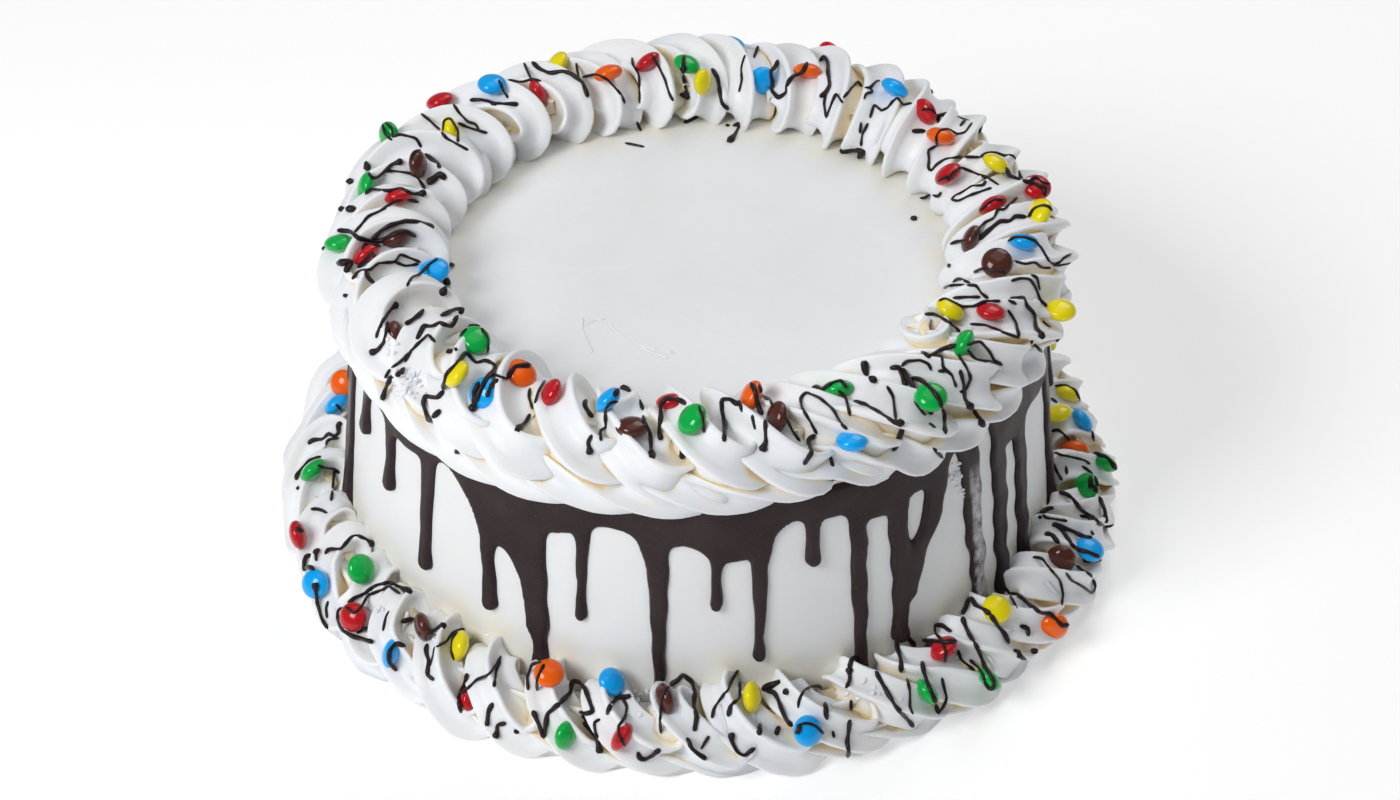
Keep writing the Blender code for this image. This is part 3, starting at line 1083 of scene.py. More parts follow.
sweets = {
    "radius": 4.65 * mm,
    "halfHeight": 2.6 * mm,
    "proud": 1.1 * mm,  # how far a sweet's middle stands out of the cream
    "sizes": (0.94, 1.05),
    # a sweet backs out of the cream by these steps, in millimetres, until it is proud enough
    "backStep": 0.3,
    "backSteps": 40,
    "nudges": 12,
    "centrePixel": (702, 330),
    # spots around a sweet where the slope of the cream is felt
    "probes": 6,
    "probeReach": 4 * mm,
    "probeRise": 0.4,
    "segments": 26,
    "rings": 14,
    "seed": 4,
    # For each sweet that shows: pixel of the photograph, colour, degrees from level to the long
    # way of its outline, and the outline's width against its length; under 0.56 it is part buried
    "top": (
        (492, 84, "blue", 0, 0.73), (538, 92, "red", 115, 0.56), (557, 64, "yellow", 55, 0.65),
        (608, 73, "orange", 15, 0.58), (648, 62, "red", 35, 0.56), (687, 64, "green", 160, 0.70),
        (703, 82, "yellow", 85, 0.68), (440, 101, "red", 20, 0.60), (384, 132, "green", 100, 0.75),
        (451, 131, "yellow", 107, 0.56), (418, 164, "brown", 95, 0.60), (366, 186, "green", 80, 0.60),
        (398, 197, "red", 10, 0.42), (339, 243, "green", 8, 0.60), (397, 239, "brown", 25, 0.42),
        (366, 255, "red", 40, 0.42), (434, 270, "blue", 10, 0.83), (762, 81, "blue", 60, 0.90),
        (808, 71, "orange", 172, 0.56), (895, 88, "blue", 150, 0.56), (925, 112, "red", 120, 0.70),
        (941, 136, "orange", 168, 0.58), (996, 163, "yellow", 152, 0.62), (948, 174, "red", 35, 0.60),
        (1037, 187, "red", 160, 0.85), (992, 205, "red", 25, 0.42), (1039, 212, "yellow", 50, 0.75),
        (1024, 242, "blue", 172, 0.56), (971, 239, "brown", 65, 0.42), (997, 263, "brown", 0, 0.97),
        (397, 336, "brown", 105, 0.58), (475, 340, "green", 170, 0.88), (457, 374, "yellow", 50, 0.62),
        (483, 393, "blue", 75, 0.85), (521, 373, "orange", 150, 0.80), (551, 393, "red", 65, 0.60),
        (608, 400, "blue", 45, 0.56), (632, 427, "brown", 0, 0.65), (672, 402, "red", 5, 0.30),
        (692, 419, "green", 55, 0.75), (751, 396, "orange", 65, 0.60), (777, 417, "brown", 80, 0.65),
        (838, 389, "green", 5, 0.42), (852, 441, "blue", 177, 0.65), (931, 397, "green", 170, 0.88),
        (963, 344, "green", 60, 0.42), (991, 312, "red", 170, 0.62), (950, 309, "yellow", 145, 0.65),
        (1061, 310, "yellow", 170, 0.75),
    ),
    "foot": (
        (343, 383, "orange", 90, 0.95), (337, 404, "blue", 40, 0.48), (313, 470, "green", 40, 0.45),
        (298, 535, "red", 105, 0.50), (361, 569, "green", 100, 0.88), (315, 584, "blue", 95, 0.90),
        (353, 617, "red", 90, 0.92), (391, 653, "blue", 75, 0.45), (423, 627, "brown", 105, 0.58),
        (459, 646, "yellow", 75, 0.60), (470, 700, "red", 95, 0.62), (549, 673, "orange", 0, 0.95),
        (612, 682, "blue", 115, 0.85), (566, 735, "green", 70, 0.70), (622, 737, "red", 58, 0.56),
        (665, 699, "brown", 105, 0.60), (752, 697, "yellow", 90, 0.60), (821, 674, "green", 152, 0.66),
        (808, 731, "blue", 90, 0.90), (927, 692, "green", 129, 0.50), (989, 679, "green", 135, 0.50),
        (943, 648, "red", 35, 0.65), (997, 609, "yellow", 135, 0.93), (1053, 627, "orange", 20, 0.86),
        (1061, 559, "brown", 160, 0.90), (1090, 549, "blue", 150, 0.80), (1067, 393, "yellow", 155, 0.50),
        (1058, 413, "yellow", 10, 0.65), (1082, 420, "blue", 130, 0.50), (1075, 449, "orange", 175, 0.60),
        (1104, 462, "green", 150, 0.48), (1086, 487, "green", 75, 0.85),
    ),
    # round the back, where the photograph shows none
    "hiddenFrom": 82.0,
    "hiddenTo": 278.0,
    "hiddenSpacing": 13.5 * mm,
    "hiddenSpread": (0.75, 1.3),
    "hiddenTilt": 0.28,
    "hiddenRise": (0.45, 1.0),
    "hiddenCast": 50,  # millimetres from the middle of the rope
}
sweetFlat = sweets["halfHeight"] / sweets["radius"]


def outwardNear(tree, place):
    # the way the cream faces round a place, as a mean of a few spots
    outward = Vector((0, 0, 0))
    for side in range(sweets["probes"]):
        turn = 2 * math.pi * side / sweets["probes"]
        way = Vector((math.cos(turn), math.sin(turn), sweets["probeRise"]))
        probe = place + way * sweets["probeReach"]
        outward += tree.find_nearest(probe)[1]
    return outward.normalized()


def seatSweet(tree, start, way, proud):
    # the middle of a sweet pressed into the cream where this line meets it
    hit = tree.ray_cast(start, way)[0]
    if hit is None:
        return None
    place = hit + way * max(0.0, -proud)
    for _ in range(sweets["backSteps"]):
        if tree.find_nearest(place)[3] >= proud:
            break
        place = place - way * sweets["backStep"] * mm
    return place


def facingOf(sight, degrees, ratio, outward):
    # the way a sweet faces when its outline looks like this from the camera
    toward = math.sqrt(max(0.0, (ratio ** 2 - sweetFlat ** 2) / (1 - sweetFlat ** 2)))
    turn = math.radians(degrees)
    side = camera.matrix_world.to_3x3() @ Vector((-math.sin(turn), math.cos(turn), 0))
    ways = [side * sign * math.sqrt(1 - toward ** 2) - sight * toward for sign in (1, -1)]
    return max(ways, key=outward.dot).normalized()


def shownSeats(tree, places):
    seats = []
    for x, y, colour, degrees, ratio in places:
        buried = max(0.0, sweetFlat - ratio) * 2 * sweets["radius"]
        for step in range(sweets["nudges"]):
            # where the line passes just outside the cream, it moves in a little
            inward = (Vector(sweets["centrePixel"]) - Vector((x, y))).normalized() * step
            eye, sight = photoRay(x + inward.x, y + inward.y)
            place = seatSweet(tree, eye, sight, sweets["proud"] - buried)
            if place is not None:
                break
        if place is not None:
            seats.append((place, facingOf(sight, degrees, ratio, outwardNear(tree, place)), colour))
    return seats


def hiddenSeats(tree, rope, floorHeight, draw, trees):
    # where the photograph shows none, by a rule, and only where the camera can't see them
    middle, level, _ = rope["core"]
    step = sweets["hiddenSpacing"] / middle
    angle = math.radians(sweets["hiddenFrom"])
    names = list(sweetColours)
    seats = []
    while angle < math.radians(sweets["hiddenTo"]):
        rise = draw.uniform(*sweets["hiddenRise"])
        spine = aroundCake(angle, middle, floorHeight + level)
        way = aroundCake(angle, math.cos(rise), 0) + Vector((0, 0, math.sin(rise)))
        place = seatSweet(tree, spine + way * sweets["hiddenCast"] * mm, -way, sweets["proud"])
        tilt = Vector([draw.gauss(0, sweets["hiddenTilt"]) for _ in range(3)])
        colour = draw.choice(names)
        if place is not None and outOfSight(place + Vector((0, 0, sweets["halfHeight"])), trees):
            seats.append((place, (outwardNear(tree, place) + tilt).normalized(), colour))
        angle += step * draw.uniform(*sweets["hiddenSpread"])
    return seats


def sweetSeats(topTree, footTree, bodyTree):
    draw = random.Random(sweets["seed"])
    trees = [topTree, footTree, bodyTree]
    seats = shownSeats(topTree, sweets["top"]) + shownSeats(footTree, sweets["foot"])
    seats += hiddenSeats(footTree, footRope, 0.0, draw, trees)
    return seats + hiddenSeats(topTree, topRope, icingTop, draw, trees)


def sweetTree():
    # puts a shell on each point, turned as its attribute says
    tree, given = newTree("buttonSweets", (
        ("Radius", "Float"), ("Half Height", "Float"), ("Smallest", "Float"), ("Largest", "Float"),
        ("Segments", "Int"), ("Rings", "Int"), ("Seed", "Int"), ("Material", "Material"),
    ))
    ball = addNode(
        tree, "GeometryNodeMeshUVSphere", Segments=given["Segments"], Rings=given["Rings"], Radius=1.0
    )
    shape = addNode(
        tree, "ShaderNodeCombineXYZ", X=given["Radius"], Y=given["Radius"], Z=given["Half Height"]
    )
    flat = addNode(tree, "GeometryNodeTransform", Geometry=ball.outputs["Mesh"], Scale=shape.outputs[0])
    turned = addNode(
        tree, "GeometryNodeInputNamedAttribute", {"data_type": "FLOAT_VECTOR"}, Name="facing"
    )
    aligned = addNode(
        tree, "FunctionNodeAlignRotationToVector", {"axis": "Z"}, Vector=turned.outputs[0]
    )
    sizes = addNode(
        tree, "FunctionNodeRandomValue", {"data_type": "FLOAT"}, Seed=given["Seed"],
        i2=given["Smallest"], i3=given["Largest"],
    )
    placed = addNode(
        tree, "GeometryNodeInstanceOnPoints", Points=given["Geometry"], Instance=flat.outputs[0],
        Rotation=aligned.outputs[0], Scale=sizes.outputs[1],
    )
    endTree(tree, placed.outputs[0], given["Material"])
    return tree


def makeSweets(seats):
    tree = sweetTree()
    pieces = []
    for number, colour in enumerate(sweetColours):
        chosen = [seat for seat in seats if seat[2] == colour]
        places = [seat[0] for seat in chosen]
        points = meshPiece(colour + "_points", places, [], sweetMaterial(colour), False)
        layer = points.data.attributes.new("facing", "FLOAT_VECTOR", "POINT")
        for item, seat in zip(layer.data, chosen):
            item.vector = seat[1]
        piece = bakedNodes(colour + "_sweets", points, tree, {
            "Radius": sweets["radius"], "Half Height": sweets["halfHeight"],
            "Smallest": sweets["sizes"][0], "Largest": sweets["sizes"][1],
            "Segments": sweets["segments"], "Rings": sweets["rings"], "Seed": number,
            "Material": points.data.materials[0],
        })
        pieces.append(piece)
    print("sweets:", len(seats), "in", len(pieces), "colours")
    return pieces


# Chocolate drizzled over the piping

drizzle = {
    # radius along each kind of line, and at its last point
    "kinds": {
        "thin": (0.46 * mm, 0.52 * mm), "thick": (0.70 * mm, 0.85 * mm),
        "drop": (0.58 * mm, 1.45 * mm), "chip": (1.10 * mm, 0.95 * mm),
        "scratch": (0.22 * mm, 0.35 * mm),
    },
    "pixelStep": 2.6,
    "pointStep": 0.8 * mm,
    "longestDrop": 9 * mm,
    "shortest": 4,
    "bridging": 12,
    "slack": 0.12 * mm,
    "sunk": 0.35,
    "beading": (0.15, 0.8),
    "endSwell": 1.7 * mm,
    "tipThinner": 0.6,
    "sides": 8,
    "uneven": 0.5 * mm,
    "unevenScale": 420.0,
    "seed": 31,
    # for the sides that the photograph doesn't show
    "hiddenRadius": 0.52 * mm,
    "hiddenEnd": 1.0 * mm,
    "hiddenMargin": 1.6 * mm,
    "hiddenReach": 45 * mm,
    "hiddenBelow": 9 * mm,
    "hiddenUneven": 0.35,
    # how many strokes round the back, and over which degrees of the rope they reach
    "hidden": {"top_drizzle": (66, (-25, 158)), "foot_drizzle": (60, (-2, 112))},
    # the heights between which the traced lines lie
    "between": {
        "top_drizzle": (icingTop - 12 * mm, 1.0),
        "foot_drizzle": (-1.0, 40 * mm),
        "top_marks": (icingTop - 5 * mm, 1.0),
    },
}

# Lines that show, each as pixels of the photograph: x, y, x, y and so on
topLines = {
    "thin": (
        # front, from the left
        (435, 342, 428, 334, 412, 350, 400, 362, 390, 369, 385, 378), (412, 349, 405, 362),
        (493, 374, 507, 379), (460, 336, 470, 325, 480, 326, 488, 338, 488, 351),
        (530, 388, 529, 398, 533, 409), (545, 381, 538, 392, 535, 403),
        (620, 401, 610, 403, 605, 410, 606, 428, 600, 430, 601, 441), (640, 400, 643, 410),
        (699, 406, 703, 418, 704, 432), (739, 401, 742, 412), (759, 385, 763, 397, 770, 399, 773, 407),
        (752, 415, 755, 429), (584, 468, 590, 466), (786, 418, 793, 432, 800, 441),
        (817, 434, 810, 421, 802, 408, 800, 398, 806, 392, 820, 398, 833, 409, 842, 425, 847, 429),
        (838, 390, 846, 398, 850, 415), (887, 386, 893, 396, 896, 420),
        (902, 366, 906, 361, 920, 360, 929, 364, 931, 370),
        (935, 356, 942, 356, 943, 368, 952, 375, 956, 387), (938, 371, 946, 371),
        (958, 355, 966, 366, 971, 378, 966, 390, 960, 392),
        (967, 345, 980, 341, 990, 352, 994, 360, 1002, 365), (968, 350, 975, 359, 990, 362, 1002, 365),
        (925, 314, 935, 314, 950, 323, 962, 333), (970, 324, 985, 325, 1000, 331, 1019, 338),
        (1008, 310, 1016, 322, 1019, 337), (1034, 344, 1042, 352), (915, 402, 925, 415),
        (929, 423, 935, 428), (933, 448, 943, 458), (948, 452, 952, 459),
        # left side
        (499, 80, 503, 90, 508, 98), (452, 102, 459, 113, 468, 122, 476, 124, 479, 131),
        (458, 123, 470, 128, 487, 133), (419, 112, 428, 119, 440, 130, 446, 138, 455, 143, 468, 150),
        (443, 131, 444, 120, 450, 118, 458, 130, 458, 142),
        (375, 130, 375, 122, 383, 121, 392, 128, 393, 137), (382, 122, 385, 135, 392, 140),
        (372, 144, 380, 141), (392, 137, 400, 134, 416, 138, 421, 147), (410, 160, 414, 152, 420, 150),
        (384, 171, 395, 171, 410, 173, 418, 178, 425, 189), (408, 200, 418, 202),
        (354, 233, 362, 224, 368, 216, 380, 211, 395, 201, 402, 200), (362, 250, 365, 243, 380, 246),
        (352, 279, 360, 270, 370, 270, 378, 263, 395, 262, 400, 254, 420, 262),
        (395, 262, 405, 266, 418, 264), (407, 286, 412, 277, 420, 274, 428, 265, 437, 259),
        # back
        (508, 80, 521, 82, 532, 79, 541, 81), (524, 63, 531, 79), (576, 63, 579, 79),
        (583, 77, 596, 74, 607, 79, 620, 93, 625, 103), (632, 58, 633, 65, 639, 75, 640, 103),
        (652, 55, 659, 67, 665, 79, 669, 93, 673, 101), (637, 122, 641, 131), (625, 143, 644, 147),
        (745, 55, 741, 68, 742, 80, 739, 92), (758, 46, 754, 58),
        (826, 92, 824, 103, 826, 118, 831, 105, 836, 93, 843, 103),
        (843, 98, 850, 90, 858, 81, 862, 87, 870, 88, 877, 80, 888, 82),
        (870, 88, 873, 92, 866, 93, 864, 99),
        (870, 118, 874, 104, 882, 111, 890, 106, 897, 97, 903, 105, 912, 103, 920, 106),
        (861, 122, 860, 133), (868, 123, 862, 135, 861, 146), (878, 166, 889, 165),
        # right side
        (880, 111, 888, 108, 893, 100), (922, 110, 930, 108, 936, 114), (938, 123, 940, 114),
        (937, 146, 936, 136, 940, 130, 948, 129, 957, 134, 965, 133, 972, 123), (960, 126, 966, 119),
        (936, 146, 928, 150, 929, 160, 928, 168, 931, 171, 937, 164, 945, 159, 957, 157, 980, 157),
        (980, 157, 986, 153, 995, 152, 1005, 156, 1013, 155, 1018, 163, 1020, 177, 1030, 183),
        (948, 181, 951, 174, 960, 167, 975, 173, 988, 178, 999, 185), (938, 181, 948, 176),
        (986, 179, 984, 185, 972, 186, 965, 191, 955, 195, 951, 200, 958, 201, 970, 195, 982, 191, 991,
         188), (920, 198, 925, 198, 930, 194, 938, 197, 941, 192),
        (1030, 180, 1036, 176, 1042, 182, 1050, 184), (980, 211, 988, 203, 996, 199, 1002, 200),
        (1017, 198, 1010, 204, 1003, 210, 998, 208, 994, 218, 985, 222, 978, 229, 974, 238),
        (1028, 217, 1034, 208, 1042, 205, 1049, 206, 1052, 211), (950, 244, 955, 242, 965, 240),
        (1008, 241, 1015, 237, 1025, 237, 1036, 241, 1043, 250, 1048, 260, 1055, 266, 1065, 257, 1072,
         254), (1055, 266, 1070, 263), (1014, 261, 1025, 264, 1035, 262, 1042, 268, 1050, 268),
        (974, 272, 983, 268, 990, 271, 1003, 271, 1009, 281),
        (1011, 281, 1020, 278, 1030, 279, 1036, 288, 1040, 300, 1047, 306),
        (1031, 275, 1037, 277, 1040, 290), (944, 288, 953, 285, 967, 285, 976, 285, 981, 293, 990, 300),
        (953, 282, 958, 278, 970, 283),
        (939, 301, 945, 298, 955, 303, 962, 307, 975, 306, 985, 301, 1000, 301),
        (953, 298, 965, 297, 980, 297), (1008, 300, 1016, 304),
    ),
    "thick": (
        (428, 304, 420, 314, 403, 326), (404, 368, 400, 374, 391, 377, 385, 390, 382, 400),
        (441, 316, 455, 309, 463, 309, 456, 318, 452, 327, 440, 323, 430, 327, 424, 325, 417, 339),
        (466, 352, 458, 362, 447, 374, 443, 388),
        (444, 391, 437, 398, 425, 396, 423, 404, 429, 421, 440, 410), (507, 378, 515, 366, 530, 365),
        (492, 372, 485, 380, 480, 390, 476, 402), (479, 382, 474, 392, 474, 404),
        (498, 379, 491, 386, 487, 397), (586, 400, 584, 405, 592, 417),
        (634, 395, 626, 388, 620, 387, 614, 396),
        (686, 404, 680, 400, 667, 398, 660, 404, 661, 415, 659, 432, 661, 440),
        (740, 403, 736, 404, 730, 399, 722, 399, 722, 410, 725, 425, 724, 441),
        (751, 383, 755, 390, 757, 402, 762, 415), (815, 435, 808, 440, 812, 452, 804, 464),
        (890, 368, 899, 367, 902, 375, 905, 385, 912, 378, 920, 379, 932, 389, 940, 400, 944, 415, 945,
         433), (922, 352, 929, 357, 940, 350, 956, 345), (470, 100, 485, 100, 493, 104, 518, 104),
        (425, 154, 430, 158, 437, 162, 440, 168),
        (372, 240, 380, 231, 390, 225, 405, 221, 420, 222, 433, 227),
        (324, 236, 330, 230, 350, 231, 358, 238, 370, 241, 380, 241, 392, 235, 405, 231, 415, 236),
        (366, 271, 368, 278, 374, 283), (532, 62, 540, 69, 549, 73, 564, 71, 572, 74, 583, 83, 588, 97),
        (684, 123, 697, 117), (680, 94, 690, 98), (712, 69, 718, 78, 720, 92, 722, 104, 728, 109),
        (778, 60, 775, 68, 770, 71, 773, 83, 771, 90, 778, 98, 786, 93, 788, 82, 793, 76, 802, 73, 807,
         63), (818, 63, 824, 56, 828, 62, 828, 72, 830, 85, 826, 92, 820, 97), (912, 131, 928, 131),
        (983, 142, 996, 138), (1006, 168, 1010, 176, 1020, 180, 1034, 183, 1045, 188, 1045, 196),
        (1026, 217, 1015, 216, 1010, 221, 1000, 221, 990, 229, 984, 235, 980, 240),
        (1058, 214, 1063, 210),
    ),
    "drop": (
        (376, 338, 382, 322, 390, 310, 397, 304), (388, 322, 384, 342, 378, 350, 370, 353),
        (466, 352, 476, 363, 486, 360, 497, 366, 488, 378, 480, 390, 471, 411),
        (530, 414, 526, 422, 517, 430), (592, 435, 588, 442, 590, 454),
        (643, 416, 645, 424, 650, 432, 652, 457), (765, 420, 766, 441, 762, 451),
        (847, 388, 841, 380, 832, 383, 822, 390, 814, 388),
        (854, 401, 865, 404, 880, 413, 896, 423, 903, 423),
        (960, 370, 964, 385, 965, 400, 975, 412, 983, 425),
        (361, 167, 366, 162, 368, 170, 371, 178, 377, 178, 385, 171, 392, 164, 402, 161),
        (365, 194, 371, 189, 390, 191, 400, 188, 413, 194, 425, 193), (448, 278, 446, 287, 442, 294),
        (684, 56, 683, 72, 685, 85, 687, 98), (733, 126, 740, 123, 736, 133, 729, 142),
        (1000, 299, 1010, 299, 1024, 297, 1027, 306, 1035, 314, 1036, 328, 1043, 337),
    ),
    "chip": (
        (344, 295, 347, 296), (441, 293, 443, 294), (457, 349, 447, 353), (864, 361, 866, 374, 876, 382),
        (427, 183, 433, 180, 440, 173, 445, 179), (344, 182, 353, 181), (339, 209, 356, 209),
        (338, 263, 352, 262, 345, 272), (450, 264, 453, 265), (726, 125, 729, 126),
        (840, 152, 850, 149, 864, 151, 858, 158), (911, 218, 917, 219), (946, 264, 950, 266),
        (1069, 282, 1071, 283),
    ),
}
footLines = {
    "thin": (
        # left side
        (326, 445, 327, 440, 332, 439, 339, 438), (336, 404, 342, 411),
        (318, 465, 325, 468, 335, 469, 339, 473), (335, 469, 333, 483, 332, 494, 331, 501),
        (311, 509, 318, 509, 324, 511, 327, 513), (328, 601, 326, 608, 327, 618),
        (383, 631, 386, 616, 389, 611), (316, 552, 316, 561),
        (338, 622, 337, 612, 340, 608, 347, 607, 354, 614, 362, 606, 368, 595, 380, 591, 389, 586, 400,
         594), (435, 647, 433, 656, 430, 666), (435, 647, 446, 642, 452, 634, 458, 630, 464, 629),
        (454, 660, 451, 650, 452, 640, 458, 631), (500, 660, 496, 672, 494, 687),
        (461, 694, 468, 688, 476, 680, 488, 675, 496, 666, 501, 656),
        # front
        (528, 690, 527, 676, 532, 664, 542, 662), (537, 690, 537, 678, 544, 664), (506, 702, 510, 698),
        (600, 719, 594, 722, 595, 732, 600, 744),
        (622, 698, 627, 706, 625, 718, 618, 726, 619, 736, 625, 746),
        (661, 733, 660, 720, 661, 704, 664, 692, 670, 685), (709, 736, 704, 744, 701, 749),
        (712, 718, 714, 708, 721, 698, 728, 690, 732, 680, 738, 670), (740, 682, 740, 698, 732, 704),
        (800, 724, 808, 723, 816, 726, 823, 733),
        (821, 689, 821, 686, 812, 686, 804, 690, 799, 700, 798, 708), (833, 731, 834, 738),
        (851, 700, 851, 710), (907, 679, 910, 690, 910, 708, 913, 714),
        # right side
        (942, 678, 944, 688, 947, 698, 944, 706, 938, 714), (958, 650, 961, 660, 974, 670),
        (945, 662, 946, 652, 942, 640, 935, 633, 935, 625), (1017, 608, 1013, 601, 1008, 591, 1000, 583),
        (985, 682, 983, 675, 979, 668, 970, 660),
        (1033, 557, 1042, 558, 1051, 570, 1060, 580, 1063, 593, 1062, 605),
        (1066, 573, 1072, 581, 1082, 586, 1093, 594, 1096, 586, 1091, 575, 1082, 570, 1075, 564),
        (1052, 451, 1061, 455, 1072, 457, 1084, 460, 1090, 464),
        (1082, 466, 1089, 471, 1095, 476, 1099, 489), (1051, 432, 1057, 429, 1064, 434, 1069, 440),
        (1071, 408, 1082, 410), (1092, 431, 1094, 441), (1053, 462, 1057, 472, 1062, 480),
        (1066, 466, 1067, 474), (1120, 477, 1122, 484), (1055, 386, 1067, 385, 1075, 390, 1080, 400),
        (1051, 398, 1059, 404), (1041, 513, 1046, 518, 1056, 519, 1067, 521),
        (1080, 516, 1089, 517, 1092, 525),
    ),
    "thick": (
        (308, 444, 312, 440, 324, 439, 329, 433, 333, 437, 339, 433, 338, 425, 341, 422),
        (296, 480, 297, 475, 302, 469, 309, 461, 321, 457), (298, 509, 304, 511, 309, 514),
        (295, 528, 303, 531), (319, 549, 316, 552, 311, 555, 306, 556, 304, 562, 304, 571),
        (305, 568, 310, 567, 314, 570), (338, 618, 342, 630, 352, 636, 373, 642),
        (427, 644, 426, 652, 429, 660, 427, 675, 434, 680), (402, 622, 406, 620, 414, 619, 420, 614),
        (405, 646, 396, 643, 389, 651, 389, 662, 396, 670), (461, 712, 458, 698, 464, 686, 467, 674),
        (493, 703, 488, 712, 487, 726), (560, 703, 547, 714, 544, 738, 536, 718, 533, 711),
        (560, 703, 571, 692, 572, 681, 578, 681, 585, 688, 593, 711, 586, 714, 580, 712),
        (607, 714, 610, 706, 618, 697, 626, 697, 636, 694),
        (638, 752, 639, 758, 644, 760, 652, 756, 660, 749),
        (670, 685, 678, 680, 683, 674, 692, 682, 695, 692, 694, 706, 697, 718, 694, 731),
        (687, 738, 692, 749, 698, 754, 706, 759), (732, 704, 728, 716), (760, 724, 759, 735),
        (779, 726, 776, 735), (766, 691, 774, 692, 778, 700, 782, 710, 786, 720, 792, 726),
        (791, 726, 793, 732, 798, 733, 800, 724), (825, 703, 827, 719),
        (850, 720, 849, 730, 847, 742, 849, 752, 847, 759),
        (849, 668, 852, 658, 857, 657, 862, 662, 868, 671),
        (873, 664, 878, 676, 886, 690, 894, 704, 902, 714, 908, 720, 913, 726),
        (901, 672, 901, 660, 897, 646, 894, 630, 904, 632, 910, 640, 915, 646),
        (922, 662, 924, 672, 928, 684, 935, 700, 938, 714), (913, 714, 911, 720),
        (923, 640, 942, 642, 956, 641), (925, 646, 932, 644), (935, 625, 942, 625, 951, 632),
        (974, 642, 968, 632, 963, 620, 963, 612, 968, 600, 972, 597, 975, 605, 982, 608, 990, 614),
        (990, 614, 998, 626, 1005, 634, 1009, 643),
        (974, 642, 978, 649, 981, 657, 985, 667, 990, 674, 994, 682),
        (994, 682, 994, 688, 989, 689, 985, 682),
        (1011, 593, 1021, 597, 1031, 606, 1041, 613, 1049, 613, 1056, 619, 1062, 626, 1069, 625, 1068,
         616, 1064, 611), (1020, 626, 1028, 628, 1028, 636), (1050, 533, 1052, 535, 1059, 543),
        (1052, 525, 1056, 524, 1064, 533, 1072, 545, 1079, 550, 1089, 552, 1099, 557),
        (1057, 525, 1067, 529, 1075, 532, 1084, 537, 1097, 538), (1039, 514, 1049, 508, 1054, 508),
        (1090, 489, 1091, 476),
        (1059, 492, 1067, 494, 1074, 500, 1080, 509, 1092, 517, 1100, 524, 1105, 526, 1115, 524, 1122,
         518), (1094, 485, 1100, 499, 1105, 510, 1106, 523), (1122, 518, 1120, 507, 1121, 495),
        (1089, 450, 1097, 454, 1107, 457, 1113, 464, 1116, 469),
    ),
    "drop": (
        (325, 554, 328, 549, 341, 549, 346, 543, 352, 536, 359, 536, 366, 539, 374, 545),
        (331, 633, 322, 620, 317, 602, 315, 583), (428, 634, 436, 629, 445, 625),
        (348, 603, 354, 598, 364, 594, 374, 586, 389, 582, 400, 587, 410, 592),
        (506, 723, 497, 725, 497, 733, 495, 738), (583, 722, 592, 732, 598, 742, 600, 753),
        (755, 748, 744, 756, 737, 752, 732, 742, 731, 733), (846, 688, 850, 680, 849, 668),
        (849, 764, 841, 765, 840, 760, 836, 752),
        (1031, 650, 1035, 651, 1036, 657, 1031, 662, 1021, 657, 1015, 651),
    ),
    "chip": (
        (297, 489, 299, 487), (298, 583, 299, 586), (762, 690, 770, 686, 780, 681), (784, 693, 788, 690),
        (1045, 534, 1051, 534), (1091, 532, 1093, 534), (1083, 621, 1084, 622), (1038, 514, 1040, 517),
    ),
}


def drapedStrand(lines, depths, radius, endRadius):
    # lines are (start, way); the chocolate lies at these depths and bridges the narrow folds
    for _ in range(drizzle["bridging"]):
        for place in range(1, len(depths) - 1):
            straight = (depths[place - 1] + depths[place + 1]) / 2 + drizzle["slack"]
            depths[place] = min(depths[place], straight)
    beading, pace = drizzle["beading"]
    strand, last = [], len(lines) - 1
    for place, ((start, way), depth) in enumerate(zip(lines, depths)):
        swell = math.exp(-((last - place) * drizzle["pointStep"] / drizzle["endSwell"]) ** 2)
        size = radius * (1 + beading * math.sin(place * pace)) + (endRadius - radius) * swell
        size *= drizzle["tipThinner"] if place in (0, last) else 1
        strand.append((start + way * (depth - drizzle["sunk"] * size), size, 0.0))
    return strand


def alongLine(line):
    # pixels at even steps along a traced line, its corners a little rounded
    corners = list(zip(line[::2], line[1::2]))
    spots = []
    for start, end in zip(corners, corners[1:]):
        count = max(1, round(math.dist(start, end) / drizzle["pixelStep"]))
        way = Vector(end) - Vector(start)
        spots += [Vector(start) + way * step / count for step in range(count)]
    spots.append(Vector(corners[-1]))
    middles = [(a + b * 2 + c) / 4 for a, b, c in zip(spots, spots[1:], spots[2:])]
    return [spots[0], *middles, spots[-1]]


def shownStrands(lines, trees, lowest, highest):
    # lays each traced line on the cream, cut where it passes from one loop to one far behind
    strands = []
    for kind, group in lines.items():
        for line in group:
            sights, depths = [], []
            for x, y in [*alongLine(line), (None, None)]:
                far = None
                if x is not None:
                    eye, sight = photoRay(x, y)
                    far = castOnto(trees, eye, sight, sightLines["reach"])
                    if far is not None and not lowest < (eye + sight * far).z < highest:
                        far = None
                if depths and (far is None or abs(far - depths[-1]) > drizzle["longestDrop"]):
                    if len(depths) >= (2 if kind == "chip" else drizzle["shortest"]):
                        strands.append(drapedStrand(sights, depths, *drizzle["kinds"][kind]))
                    sights, depths = [], []
                if far is not None:
                    sights.append((eye, sight))
                    depths.append(far)
    return strands


